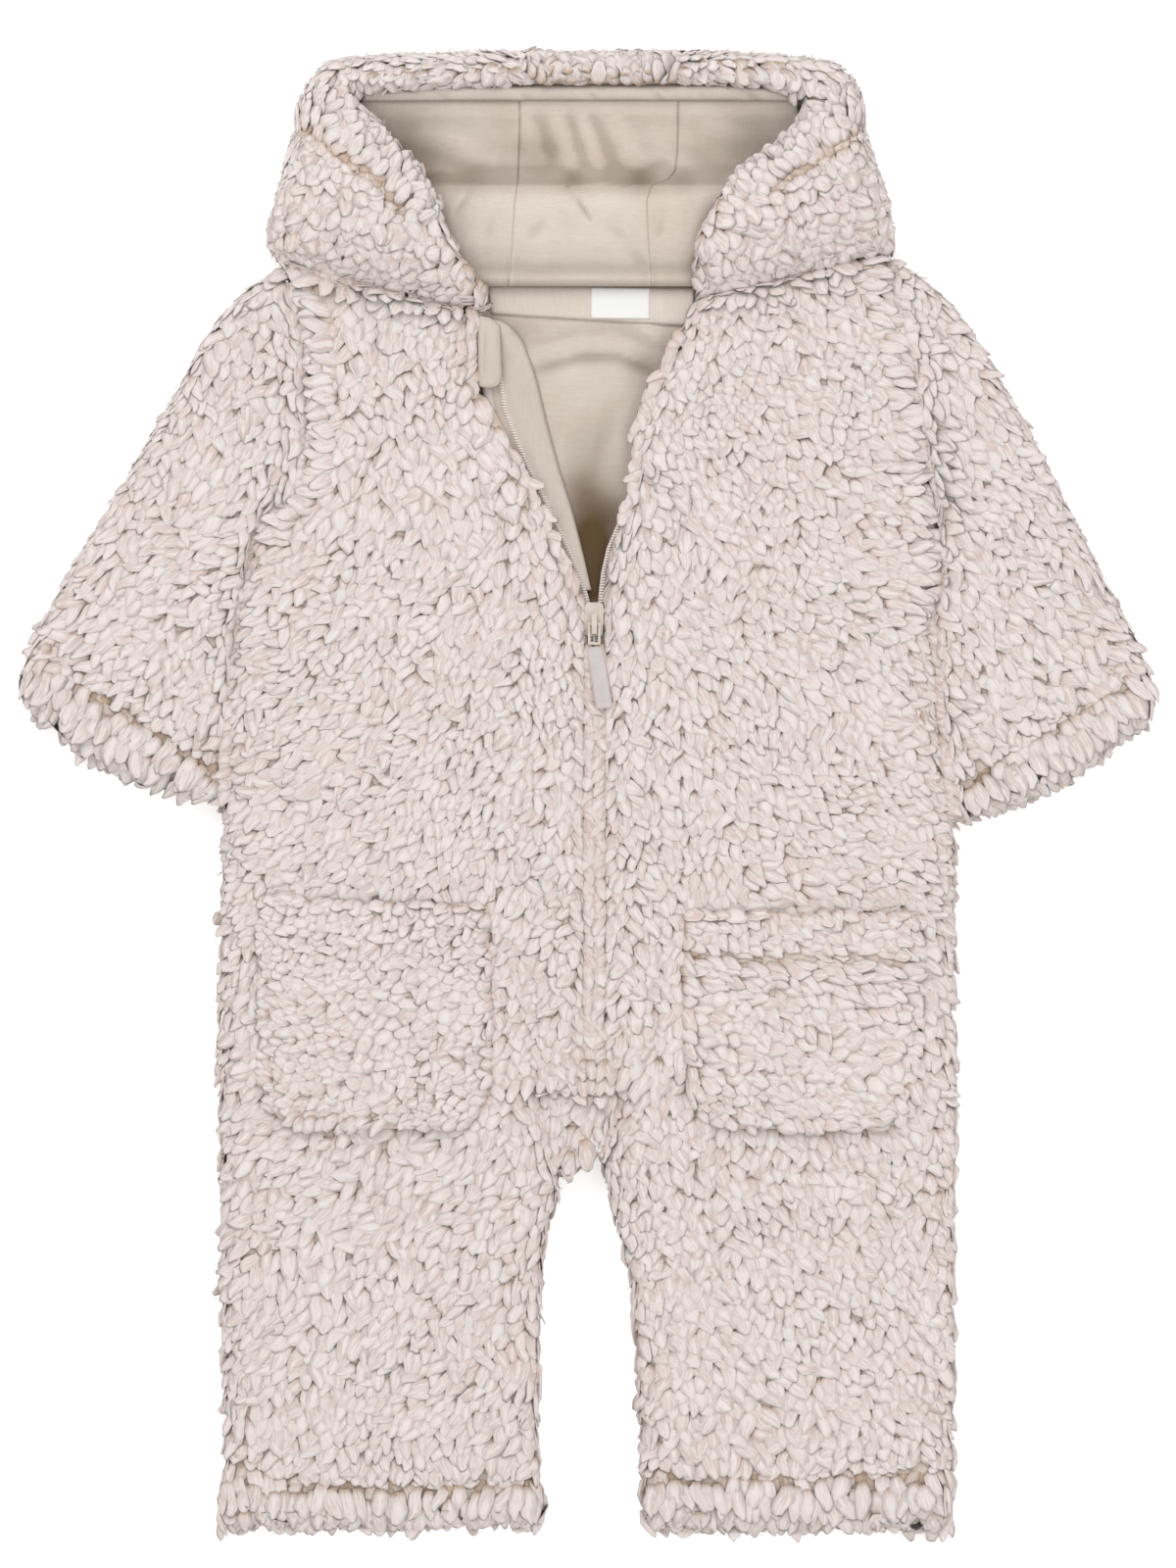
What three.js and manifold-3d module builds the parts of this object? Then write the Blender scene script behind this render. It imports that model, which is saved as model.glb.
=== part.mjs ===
// A hooded baby overall in teddy fleece, size 6 to 9 months, laid flat on its back.
// Millimetres. +X is the wearer's left, +Y runs to the hood, +Z points up from the surface.
// The origin is below the middle of the garment, on the surface that it lies on.
import * as THREE from 'three';
import Module from 'manifold-3d';
import { mergeVertices } from 'three/addons/utils/BufferGeometryUtils.js';

const wasm = await Module();
wasm.setup();

// Driving dimensions
const fleece = 8;            // backing and pile of one layer, lying under its own weight
const seamGap = 0.3;         // between two pieces that are sewn together
const jersey = 0.9;          // lining fabric
const backTop = fleece;      // the back lies on the surface
const frontLow = backTop + seamGap;
const frontTop = frontLow + 9.2;
const zipX = 3.2;            // the zip runs a little to the wearer's left
const zipLift = 3.7;         // the zip's layers raise the front edges by this
const zipEnd = -129;         // lower end of the zip
const neckY = 224;           // back neck seam
const pocketThick = 4.5;
const rimTopY = 327;         // upper edge of the hood

// Height of each jersey and zip layer in the open neck
const liningLow = backTop + seamGap;
const liningTop = liningLow + jersey;
const placketLow = liningTop + seamGap;
const placketTop = placketLow + 1;
const tapeLow = placketTop + seamGap + 0.1;
const tapeTop = tapeLow + 0.8;
const tapeWidth = 10;
const coilWidth = 2.85;
const coilTop = tapeLow + 2.3;

// Outlines. Each row crosses a piece, from its side seam to its zip edge or inseam.
// lift is the share of the zip's layers under the inner edge, full the share of the full height.
function table(columns, rows) {
  const names = columns.split(' ');
  return rows.map((row) => Object.fromEntries(names.map((name, i) => [name, row[i]])));
}
const frontColumns = 'sideX sideY innerX innerY lift full';
const frontRightRows = table(frontColumns, [
  [-134.5, 231, -50.5, 211, 1, 1],
  [-132, 223.5, -50, 203.5, 1, 1],
  [-128.5, 207, -49.5, 192, 1, 1.05],
  [-126.5, 187.5, -49.5, 177.5, 1, 1.05],
  [-126, 180, -43.5, 174, 1, 1.05],
  [-126, 170, -39, 165.5, 1, 1.05],
  [-125.5, 157, -34, 156, 1, 1],
  [-125.5, 141.5, -28, 142, 1, 1],
  [-127, 133, -22, 131, 1, 1],
  [-136.5, 126, -18, 121, 1, 1],
  [-147, 120, -14, 112, 1, 1],
  [-150, 107, -9, 100.5, 1, 0.98],
  [-153.5, 89.5, -4, 89.5, 1, 1],
  [-156, 72, -1.5, 82.5, 1, 1],
  [-157.5, 54.5, -1.5, 66, 1, 1.04],
  [-158.5, 39, -0.5, 59, 1, 1.04],
  [-159.5, 11, -0.5, 11, 1, 0.98],
  [-160, -19.5, -0.5, -19.5, 1, 1],
  [-161, -46, -0.5, -46, 1, 1],
  [-161.5, -85, -0.5, -85, 1, 1],
  [-162, -130.5, -0.5, -130, 1, 1],
  [-162, -134, -23, -134, 0.3, 1],
  [-161.5, -147.5, -21, -147.5, 0, 1],
  [-161.5, -158.5, -18.5, -158.5, 0, 1],
  [-161, -169, -15, -169, 0, 1],
  [-161, -180, -13.5, -180, 0, 1],
  [-161, -194, -19, -194, 0, 1.03],
  [-161, -211.5, -21, -211.5, 0, 1.03],
  [-160.5, -250.5, -22.5, -250.5, 0, 1],
  [-160, -292, -23, -292, 0, 1],
  [-160, -309.5, -22.5, -311, 0, 0.84],
  [-162, -317, -21, -317, 0, 0.98],
  [-162, -326.5, -21.5, -325, 0, 0.5],
]);
const frontLeftRows = table(frontColumns, [
  [133, 236, 49.5, 218, 1, 1],
  [136.5, 224.5, 46, 210.5, 1, 1],
  [141, 207, 42.5, 200.5, 1, 1.05],
  [145, 189, 39, 191.5, 1, 1.05],
  [148, 172, 30, 174.5, 1, 1.05],
  [150, 157, 25, 162.5, 1, 1.05],
  [152, 141.5, 23.5, 146, 1, 1],
  [155.5, 124.5, 22, 132, 1, 1],
  [158.5, 109, 17, 119, 1, 1],
  [158.5, 96, 12, 107, 1, 0.98],
  [157, 86, 9.5, 96, 1, 1],
  [153, 77, 8.5, 87, 1, 1],
  [152.5, 70, 8, 81.5, 1, 1],
  [154.5, 54.5, 8, 65, 1, 1.04],
  [155.5, 39, 7, 59, 1, 1.04],
  [158.5, 11, 7, 11, 1, 0.98],
  [162, -15.5, 7, -15.5, 1, 1],
  [162, -46, 7, -46, 1, 1],
  [162, -85, 7, -85, 1, 1],
  [162.5, -130.5, 7, -130, 1, 1],
  [162.5, -134, 14.8, -134, 0.3, 1],
  [162.5, -144.5, 15.5, -144.5, 0, 1],
  [162.5, -153, 10.5, -153, 0, 1],
  [162, -160, 7, -160, 0, 1],
  [162, -171.5, 9.5, -171.5, 0, 1],
  [162, -186, 12.5, -186, 0, 1],
  [162, -211.5, 20, -211.5, 0, 1.03],
  [162, -255, 23, -255, 0, 1],
  [161, -292, 25, -292, 0, 1],
  [161, -308.5, 25, -307.5, 0, 0.84],
  [161, -316, 25.5, -316, 0, 0.98],
  [159, -327, 27.5, -326.5, 0, 0.5],
]);

// A sleeve starts on its armhole, and each row crosses it from the shoulder edge to the underarm.
const armholeRight = [[-136, 231], [-130, 209.5], [-127.5, 176.5], [-127, 147.5], [-128.5, 134.5],
  [-137.5, 127.7], [-148.5, 121.5]];
const armholeLeft = [[134.5, 236], [139.5, 220], [146, 191], [150, 168], [153.2, 147.5], [158.4, 124.5],
  [162.3, 107], [160, 89.5], [154.5, 76.5]];
const sleeveColumns = 'edgeX edgeY underX underY bow full';
const sleeveRightRows = table(sleeveColumns, [
  [-147, 224.5, -149.8, 113.5, -9, 0.97],
  [-161, 213, -154, 93.5, -4, 1],
  [-176, 187.5, -157.2, 72, 0, 1.03],
  [-190.5, 162.5, -159, 50, 0, 1.03],
  [-204.5, 137.5, -160, 30.5, 2, 1],
  [-226.5, 102.5, -160.5, 16, 5, 1],
  [-243.5, 72, -161, 8.5, 7, 0.84],
  [-252, 50, -161.2, 2, 9, 0.98],
  [-250, 40.5, -161.5, -4.5, 9, 0.5],
]);
const sleeveLeftRows = table(sleeveColumns, [
  [148.5, 227, 154.6, 67.5, -14, 0.97],
  [162, 215, 156.2, 54.5, -14, 1],
  [177, 192, 157.2, 41.5, -13, 1.03],
  [192.5, 165.5, 158.6, 28.5, -11, 1.03],
  [209.5, 133, 160, 17.5, -8, 1],
  [228, 96, 161.2, 6.5, -5, 1],
  [244.5, 65.5, 162.4, -3, -5, 0.84],
  [252, 46, 163, -7.5, -6, 0.98],
  [251, 36, 163.5, -12, -7, 0.5],
]);

// The hood lies open on its back. A row of a side runs from the seam with the centre panel, along
// the surface to the outer fold, and back over the top to the rim.
// crown and rimZ are heights of the top layer, bend the inset of the inner fold.
const hoodColumns = 'seamX seamY foldX foldY rimX rimY crown rimZ bend';
const hoodRightRows = table(hoodColumns, [
  [-34.5, 227.5, -138, 236.5, -43, 213, 18.5, 18.5, 9],
  [-34.2, 235, -141.5, 246.5, -47, 222, 31, 27, 10],
  [-33.8, 244, -139, 258.5, -57, 236.5, 38, 34, 10],
  [-33.3, 257, -134, 274.5, -68.5, 261.5, 42, 38, 10],
  [-32.9, 268, -131, 288, -74.5, 274, 42, 37, 10],
  [-32.5, 279, -127.5, 302, -87, 288.5, 40, 35, 9],
  [-32.1, 290, -122.5, 315, -96.5, 299.5, 36, 33, 9],
  [-31.8, 296.5, -112.5, 324, -106, 308.5, 32, 30, 10],
  [-31.6, 301, -87, 326, -83.5, 311, 31, 30, 13],
  [-31.5, 305, -60.5, 326.5, -52, 313, 31, 30, 13],
  [-31.4, 308, -31, rimTopY, -30.9, 313.5, 31, 30, 12.8],
]);
const hoodLeftRows = table(hoodColumns, [
  [29.1, 227.5, 136.5, 241.5, 49.5, 219.5, 18.5, 18.5, 9],
  [30.3, 235, 134.5, 253, 49, 227.5, 30, 26, 10],
  [31.4, 244, 132.5, 264, 49.5, 240, 37, 33, 10],
  [33.2, 257, 128, 277, 53, 251.5, 41, 37, 10],
  [34.8, 267.5, 124.5, 288, 63.5, 269, 42, 37, 10],
  [36, 275.5, 122.5, 301, 76.5, 280, 40, 35, 9],
  [38, 287, 119.5, 312.5, 91, 291, 36, 33, 9],
  [39, 294.5, 109.5, 323, 98, 306, 32, 30, 10],
  [40, 300, 83.5, 326, 79, 312.5, 31, 30, 13],
  [40.5, 305, 61.5, rimTopY, 59.5, 314, 31, 30, 12.5],
  [41, 308, 41.3, rimTopY, 41.3, 314.2, 31, 30, 12],
]);

// Height of the hood's lining along its middle: the puffy fold at the nape, the valley behind it
// and the rise to the rim
const liningProfile = table('y z', [
  [220, 10.5], [227, 11], [232, 17], [242, 26], [253, 31], [261, 33], [265, 31.5], [268.5, 22],
  [271, 13], [275, 10.8], [285, 11.5], [296, 15], [306, 20], [313, 24], [330, 25],
]);
const liningFloor = 10.6;
const hoodLining = jersey + seamGap + 0.1;  // jersey and the gap below it
// The fold at the nape is highest in the middle and runs out under the sides.
const foldShare = table('away share', [[0, 1], [38, 1], [50, 0.8], [75, 0.28], [92, 0], [400, 0]]);
const foldEndY = 275;

// Linear reading of a table
function read(rows, key, value, at) {
  const after = rows.findIndex((row) => row[key] >= at);
  if (after <= 0) return rows[after === 0 ? 0 : rows.length - 1][value];
  const a = rows[after - 1];
  const b = rows[after];
  return THREE.MathUtils.mapLinear(at, a[key], b[key], a[value], b[value]);
}

function liningHeight(x, y) {
  const z = read(liningProfile, 'y', 'z', y);
  if (y >= foldEndY) return z;
  return liningFloor + (z - liningFloor) * read(foldShare, 'away', 'share', Math.abs(x - zipX));
}

// The fleece of the hood's sides stays below the lining's fold, whose slopes it rounds off.
function fleeceUnderLining(x, y) {
  const around = [[0, 0], [-8, 0], [8, 0], [0, -8], [0, 8], [-7, 7], [7, 7], [-7, -7], [7, -7]];
  return Math.min(...around.map(([dx, dy]) => liningHeight(x + dx, y + dy))) - hoodLining;
}

// Plan lines: a point at a distance from the first end of a polyline
function planLength(line) {
  let total = 0;
  for (let i = 1; i < line.length; i += 1) {
    total += Math.hypot(line[i][0] - line[i - 1][0], line[i][1] - line[i - 1][1]);
  }
  return total;
}
function planPoint(line, distance) {
  let left = distance;
  for (let i = 1; i < line.length; i += 1) {
    const [ax, ay] = line[i - 1];
    const [bx, by] = line[i];
    const step = Math.hypot(bx - ax, by - ay);
    if (left <= step || i === line.length - 1) {
      return [ax + ((bx - ax) * left) / step, ay + ((by - ay) * left) / step];
    }
    left -= step;
  }
  return line[0];
}
// A plan line from a to b with its middle pushed sideways by bow
function bowed(a, b, bow) {
  const dx = b[0] - a[0];
  const dy = b[1] - a[1];
  const length = Math.hypot(dx, dy);
  const steps = bow === 0 ? 1 : 8;
  const line = [];
  for (let i = 0; i <= steps; i += 1) {
    const t = i / steps;
    const push = bow * Math.sin(Math.PI * t);
    line.push([a[0] + dx * t + (dy / length) * push, a[1] + dy * t - (dx / length) * push]);
  }
  return line;
}

// A station is a place on a row: an inset in millimetres from its start or end, or a share of it.
function stationDistance(station, length) {
  const reach = Math.min(1, (0.45 * length) / 24);
  if (station.start !== undefined) return station.start * reach;
  if (station.end !== undefined) return length - station.end * reach;
  return station.share * length;
}

// A closed body between two grids of points, rows by stations, joined along their borders.
// With round set, the stations close on themselves, so the body is a tube.
function shell(name, material, outer, inner, round = false) {
  const rows = outer.length;
  const count = outer[0].length;
  const points = [...outer.flat(), ...inner.flat()];
  const base = rows * count;
  const faces = [];
  const quad = (a, b, c, d) => faces.push(a, b, c, a, c, d);
  const spans = round ? count : count - 1;
  for (let i = 0; i < rows - 1; i += 1) {
    for (let j = 0; j < spans; j += 1) {
      const k = (j + 1) % count;
      const [a, b, c, d] = [i * count + j, i * count + k, (i + 1) * count + k, (i + 1) * count + j];
      quad(a, b, c, d);
      quad(base + d, base + c, base + b, base + a);
    }
  }
  for (let j = 0; j < spans; j += 1) {
    const k = (j + 1) % count;
    const last = (rows - 1) * count;
    quad(base + j, base + k, k, j);
    quad(last + j, last + k, base + last + k, base + last + j);
  }
  if (!round) {
    for (let i = 0; i < rows - 1; i += 1) {
      const [a, b] = [i * count, (i + 1) * count];
      quad(a, b, base + b, base + a);
      quad(base + a + count - 1, base + b + count - 1, b + count - 1, a + count - 1);
    }
  }
  return meshFrom(name, material, points, faces);
}

// A mesh of merged points whose faces point out
function meshFrom(name, material, points, faces) {
  let geometry = new THREE.BufferGeometry();
  geometry.setAttribute('position', new THREE.Float32BufferAttribute(points.flat(), 3));
  geometry.setIndex(faces);
  geometry = mergeVertices(geometry, 1e-3);
  const position = geometry.getAttribute('position');
  const index = [...geometry.getIndex().array];
  const corners = [new THREE.Vector3(), new THREE.Vector3(), new THREE.Vector3()];
  let volume = 0;
  const kept = [];
  for (let i = 0; i < index.length; i += 3) {
    const face = index.slice(i, i + 3);
    if (new Set(face).size < 3) continue;
    kept.push(face);
    corners.forEach((corner, j) => corner.fromBufferAttribute(position, face[j]));
    volume += corners[0].dot(corners[1].clone().cross(corners[2]));
  }
  const outward = volume > 0 ? kept : kept.map(([a, b, c]) => [a, c, b]);
  geometry.setIndex(outward.flat());
  geometry.computeVertexNormals();
  const mesh = new THREE.Mesh(geometry, material);
  mesh.name = name;
  return mesh;
}

// Materials
function cloth(colour, roughness, metalness = 0) {
  return new THREE.MeshStandardMaterial({ color: colour, roughness, metalness });
}
const teddy = () => cloth('#e2d5cc', 0.95);
const liningCloth = () => cloth('#d6ccba', 0.85);
const facingCloth = () => cloth('#d8cfc4', 0.85);
const tapeCloth = () => cloth('#dcd2c8', 0.8);
const labelCloth = () => cloth('#f5f5f4', 0.6);
const paintedMetal = () => cloth('#cfc5c3', 0.35, 0.3);

// Fronts and backs
// A wall of fleece thins towards its edges: soft is the share of its height lost at an inset.
const edgeSoftness = [[0, 0.62], [3, 0.26], [9, 0.04]];
const zipShare = [[0, 1], [3, 1], [9, 1], [15, 0.9], [24, 0]];

function frontStations() {
  const side = edgeSoftness.map(([inset, soft]) => ({ start: inset, soft, zip: 0 }));
  const inner = zipShare.map(([inset, zip]) => {
    const edge = edgeSoftness.find((row) => row[0] === inset);
    return { end: inset, soft: edge ? edge[1] : 0, zip };
  });
  return [...side, { share: 0.36, soft: 0, zip: 0 }, { share: 0.64, soft: 0, zip: 0 }, ...inner.reverse()];
}

function front(name, rows) {
  const stations = frontStations();
  const outer = [];
  const inner = [];
  for (const row of rows) {
    const line = [[row.sideX, row.sideY], [row.innerX, row.innerY]];
    const length = planLength(line);
    const top = [];
    const low = [];
    for (const station of stations) {
      const [x, y] = planPoint(line, stationDistance(station, length));
      const lift = zipLift * row.lift * station.zip;
      const height = (frontTop - frontLow) * row.full * (1 - station.soft);
      top.push([x, y, frontLow + height + lift * 0.55]);
      low.push([x, y, frontLow + lift]);
    }
    outer.push(top);
    inner.push(low);
  }
  return shell(name, teddy(), outer, inner);
}

// A back follows its front's side edge, and meets the other back at the centre seam.
function back(name, rows, centre) {
  const stations = [
    ...edgeSoftness.map(([inset, soft]) => ({ start: inset, soft })),
    { share: 0.5, soft: 0 },
    ...edgeSoftness.map(([inset, soft]) => ({ end: inset, soft })).reverse(),
  ];
  const outer = [];
  const inner = [];
  for (const row of rows) {
    const aboveGusset = row.innerY > zipEnd - 2;
    const innerX = aboveGusset ? centre : row.innerX;
    const innerY = aboveGusset ? Math.min(row.sideY, neckY) : row.innerY;
    const line = [[row.sideX, row.sideY], [innerX, innerY]];
    const length = planLength(line);
    const low = [];
    const top = [];
    for (const station of stations) {
      const [x, y] = planPoint(line, stationDistance(station, length));
      const flatSeam = aboveGusset && station.end !== undefined;
      const rise = flatSeam ? 0 : fleece * station.soft;
      low.push([x, y, Math.max(rise, (1 - Math.min(1, row.full * 1.25)) * fleece)]);
      top.push([x, y, backTop]);
    }
    outer.push(low);
    inner.push(top);
  }
  return shell(name, teddy(), outer, inner);
}

// Sleeves: flattened tubes, with a narrow space between their two layers
const sleeveTop = 2 * fleece + 1.2;
const sleeveMid = sleeveTop / 2;
const sleeveWall = 8.2;
const sleeveRing = [
  { start: 0, z: 0, space: 0 }, { start: 2.5, z: 0.6, space: 1 }, { start: 8, z: 0.94, space: 1 },
  { start: 20, z: 1, space: 1 }, { share: 0.34, z: 1, space: 1 }, { share: 0.5, z: 1, space: 1 },
  { share: 0.66, z: 1, space: 1 }, { end: 20, z: 1, space: 1 }, { end: 8, z: 0.94, space: 1 },
  { end: 2.5, z: 0.6, space: 1 }, { end: 0, z: 0, space: 0 }, { end: 2.5, z: -0.64, space: -1 },
  { end: 8, z: -1, space: -1 }, { share: 0.66, z: -1, space: -1 }, { share: 0.5, z: -1, space: -1 },
  { share: 0.34, z: -1, space: -1 }, { start: 8, z: -1, space: -1 }, { start: 2.5, z: -0.64, space: -1 },
];
const sleeveSpace = 0.5;

function sleeve(name, armhole, rows) {
  const outer = [];
  const inner = [];
  const addRing = (line, full) => {
    const length = planLength(line);
    const around = [];
    const within = [];
    for (const station of sleeveRing) {
      const distance = stationDistance(station, length);
      const [x, y] = planPoint(line, distance);
      const height = station.z > 0 ? station.z * full : station.z * Math.min(1, full * 1.25);
      around.push([x, y, sleeveMid + sleeveMid * height]);
      const inset = sleeveWall + (distance * (length - 2 * sleeveWall)) / length;
      const [ix, iy] = planPoint(line, inset);
      within.push([ix, iy, sleeveMid + sleeveSpace * station.space]);
    }
    outer.push(around);
    inner.push(within);
  };
  addRing(armhole, 0.86);
  for (const row of rows) {
    addRing(bowed([row.edgeX, row.edgeY], [row.underX, row.underY], row.bow), row.full);
  }
  return shell(name, teddy(), outer, inner, true);
}

// Patches that lie on something: rows of a left and a right end, with heights from functions
function patch(name, material, rows, shares, topAt, lowAt) {
  const outer = [];
  const inner = [];
  rows.forEach(([ax, ay, bx, by], index) => {
    const top = [];
    const low = [];
    for (const share of shares) {
      const x = ax + (bx - ax) * share;
      const y = ay + (by - ay) * share;
      top.push([x, y, topAt(x, y, share, index / (rows.length - 1))]);
      low.push([x, y, lowAt(x, y, share, index / (rows.length - 1))]);
    }
    outer.push(top);
    inner.push(low);
  });
  return shell(name, material, outer, inner);
}
const across = (steps) => Array.from({ length: steps + 1 }, (_, i) => i / steps);

// Patch pockets on the flat of the fronts, thinner along their stitched edges and at the mouth
const pocketEdge = { stitched: 0.35, mouth: 0.7, slope: 10 };

function pocket(name, rows) {
  const low = frontTop + seamGap;
  const shares = [0, 0.03, 0.1, 0.5, 0.9, 0.97, 1];
  const top = (x, y, share, down) => {
    const side = Math.min(1, pocketEdge.stitched + Math.min(share, 1 - share) * pocketEdge.slope);
    const end = down === 1 ? pocketEdge.stitched : 1;
    const mouth = down === 0 ? pocketEdge.mouth : 1;
    return low + pocketThick * Math.min(side, end, mouth);
  };
  return patch(name, teddy(), rows, shares, top, () => low);
}
const pocketRightRows = [
  [-144.5, -49.5, -44, -52], [-145, -54, -43.5, -56], [-145, -102.5, -43, -102.5], [-144.5, -133, -44, -133],
  [-141.5, -142.5, -47.5, -142.5], [-134.5, -149, -53.5, -149], [-126, -151.5, -61.5, -151.5],
];
const pocketLeftRows = [
  [44.5, -56, 148.5, -54.5], [44, -60, 148.5, -58.5], [44, -102.5, 148, -102.5], [45, -133, 147.5, -133],
  [48, -142.5, 144.5, -142.5], [54.5, -149.5, 137.5, -149.5], [63.5, -151.5, 128, -151.5],
];

// Crotch gusset: both layers and their seams in one rounded solid
const gussetRows = [
  [-22.2, -135, 14, -135], [-20.8, -139.5, 14.8, -139.5], [-20, -147.5, 12, -147.5],
  [-17.7, -155, 8, -155], [-15.8, -161, 5, -161], [-13, -167, -3, -167], [-11.5, -170, -5, -170],
];
const gussetTop = frontTop - 1;
const gussetEdge = { side: 0.55, slope: 3, end: 0.6, sideRise: 3, endRise: 4 };

function gusset() {
  const round = (share, down) => {
    const side = Math.min(1, gussetEdge.side + Math.min(share, 1 - share) * gussetEdge.slope);
    return side * (down === 1 ? gussetEdge.end : 1);
  };
  const low = (x, y, share, down) => {
    const atSide = share === 0 || share === 1;
    return (down === 1 ? gussetEdge.endRise : 0) + (atSide ? gussetEdge.sideRise : 0);
  };
  return patch('crotch_gusset', teddy(), gussetRows, [0, 0.12, 0.5, 0.88, 1],
    (x, y, share, down) => (gussetTop * (1 + round(share, down))) / 2, low);
}

// Hood sides
const hoodWall = 8.6;
const hoodRoom = 0.8;        // least space between the two layers of a side
const underShares = [1, 0.84, 0.68, 0.54, 0.4];

function hoodSide(name, rows) {
  const outer = [];
  const inner = [];
  for (const row of rows) {
    const fold = [row.foldX, row.foldY];
    const under = [fold, [row.seamX, row.seamY]];
    const over = [fold, [row.rimX, row.rimY]];
    const underLength = planLength(under);
    const overLength = planLength(over);
    const fit = Math.min(1, (0.9 * overLength) / 24);
    const out = [];
    const within = [];
    const add = (line, outerAt, outerZ, innerAt, innerZ) => {
      out.push([...planPoint(line, outerAt), outerZ]);
      within.push([...planPoint(line, innerAt), innerZ]);
    };
    const floorAt = (distance) => fleeceUnderLining(...planPoint(under, distance));
    const bend = row.bend;
    const open = row.crown - hoodWall;
    const floor = floorAt(bend);
    const ceiling = Math.max(open, floor + hoodRoom);
    const middle = (floor + ceiling) / 2;
    for (const share of underShares) {
      add(under, underLength * share, 0, underLength * share, floorAt(underLength * share));
    }
    add(under, 12 * fit, 0, bend + 5, floorAt(bend + 5));
    add(under, 3 * fit, 2.5, bend + 1, floor);
    add(over, 0, row.crown * 0.32, bend, (floor + middle) / 2);
    add(over, 0.6 * fit, row.crown * 0.62, bend, (ceiling + middle) / 2);
    add(over, 4.5 * fit, row.crown * 0.86, bend + 0.4 * fit, ceiling);
    const rest = overLength - bend;
    add(over, 12 * fit, row.crown * 0.97, bend + rest * 0.2, ceiling);
    add(over, overLength * 0.6, row.crown, bend + rest * 0.5, ceiling);
    add(over, overLength - 6 * fit, (row.crown + 2 * row.rimZ) / 3, bend + rest * 0.8,
      Math.max(row.rimZ - hoodWall, floor + hoodRoom));
    add(over, overLength, row.rimZ - 3.5, overLength - 0.4, Math.max(row.rimZ - hoodWall, floor + hoodRoom));
    outer.push(out);
    inner.push(within);
  }
  return shell(name, teddy(), outer, inner);
}

// Hood centre panel, from the nape to the rolled rim
const hoodCentreRows = [
  [-33.9, 227.5, 28.5, 227.5], [-33.7, 232, 29.4, 232], [-33.4, 242, 30.8, 242], [-33, 253, 32.3, 253],
  [-32.7, 261, 33.5, 261], [-32.5, 265, 34, 265], [-32.4, 268.5, 34.5, 268.5], [-32.3, 271, 34.8, 271],
  [-32, 275, 35.4, 275], [-31.7, 285, 37.2, 285], [-31.3, 296, 38.7, 296], [-31, 306, 40.1, 306],
  [-30.6, 312.4, 40.7, 312.4], [-30.5, 313.4, 40.9, 313.6], [-30.4, 317, 41, 317],
  [-30.5, 322, 41, 322], [-30.6, 325.6, 41, 325.6], [-30.7, rimTopY, 41, rimTopY],
];
const rimProfile = table('y top low', [
  [312.5, 0, 0], [313.4, 26, 0], [317, 30.5, 0], [322, 29.5, 1], [325.6, 22, 4], [rimTopY, 15, 9],
]);
function hoodCentre() {
  const top = (x, y) => {
    if (y < 313) return liningHeight(x, y) - hoodLining;
    return read(rimProfile, 'y', 'top', y);
  };
  const low = (x, y) => read(rimProfile, 'y', 'low', y);
  return patch('hood_centre', teddy(), hoodCentreRows, across(4), top, low);
}

// Hood lining: three pieces of jersey on the fleece, from the neck seam to the casing at the rim
const liningRowsY = [227.5, 232, 242, 253, 261, 265, 268.5, 271, 275, 285, 296, 305.4];
const liningEdges = table('y right seamRight seamLeft left', [
  [227.5, -52, -34.5, 28.8, 57], [242, -68, -33.5, 27.5, 58], [261, -78, -32, 26.5, 64],
  [268.5, -82, -31, 29, 72], [272, -84, -30.8, 39, 75], [285, -95, -30.4, 40.5, 86],
  [296, -104, -30, 40.5, 96], [306, -98, -30, 40.5, 92],
]);
function hoodLiningPiece(name, from, to) {
  const rows = liningRowsY.map((y) => [
    read(liningEdges, 'y', from, y) + seamGap / 2, y, read(liningEdges, 'y', to, y) - seamGap / 2, y,
  ]);
  return patch(name, liningCloth(), rows, across(5), liningHeight, (x, y) => liningHeight(x, y) - jersey);
}
const casingRows = [
  [-100, 306.1, -99, 308.5], [-84, 306.1, -82, 310.2], [-56, 306.1, -55, 312], [-30, 306.1, -30, 312.2],
  [10, 306.1, 10, 312.4], [41, 306.1, 41, 312.4], [62, 306.1, 62, 312.4], [78, 306.1, 78, 311.4],
  [92, 306.1, 91, 308.3],
];
const hoodCasing = () => patch('hood_casing', facingCloth(), casingRows, across(3),
  (x, y) => liningHeight(x, y) + 0.8, (x, y) => liningHeight(x, y) - jersey);

// Jersey pieces in the open neck
const backLiningRows = [
  [-53, neckY, 60, neckY], [-56, 207, 55, 207], [-50, 185.5, 44, 185.5], [-38, 159, 34.5, 159],
  [-27, 133, 32, 133], [-16, 109, 22, 109], [-6, 89.5, 12.5, 89.5], [0.5, 72, 6.5, 72],
];
const backLining = () => patch('lining_back', liningCloth(), backLiningRows, across(4),
  () => liningTop, () => liningLow);
const neckTapeRows = [[-44, 223.6, 48, 222.6], [-42.5, 212, 46, 206.5]];
const neckTape = () => patch('neck_tape', facingCloth(), neckTapeRows, across(6),
  () => placketTop, () => placketLow);
const labelRows = [[1.8, 223.2, 27.8, 222.9], [1.8, 209.6, 27.8, 209.3]];
const labelPatch = () => patch('label', labelCloth(), labelRows, across(2),
  () => placketTop + seamGap + 0.5, () => placketTop + seamGap);
const placketRows = [
  [-48, 198.5, -27.5, 197], [-46.5, 181, -22.5, 181.5], [-43.5, 163.5, -18.5, 164.5],
  [-33.5, 141.5, -12.5, 142], [-24.5, 124.5, -7, 124.5], [-13.5, 102.5, -1.5, 102.5], [-4.5, 88.5, 1.6, 88.5],
];
const placket = () => patch('placket', facingCloth(), placketRows, across(3),
  () => placketTop, () => placketLow);
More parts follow.
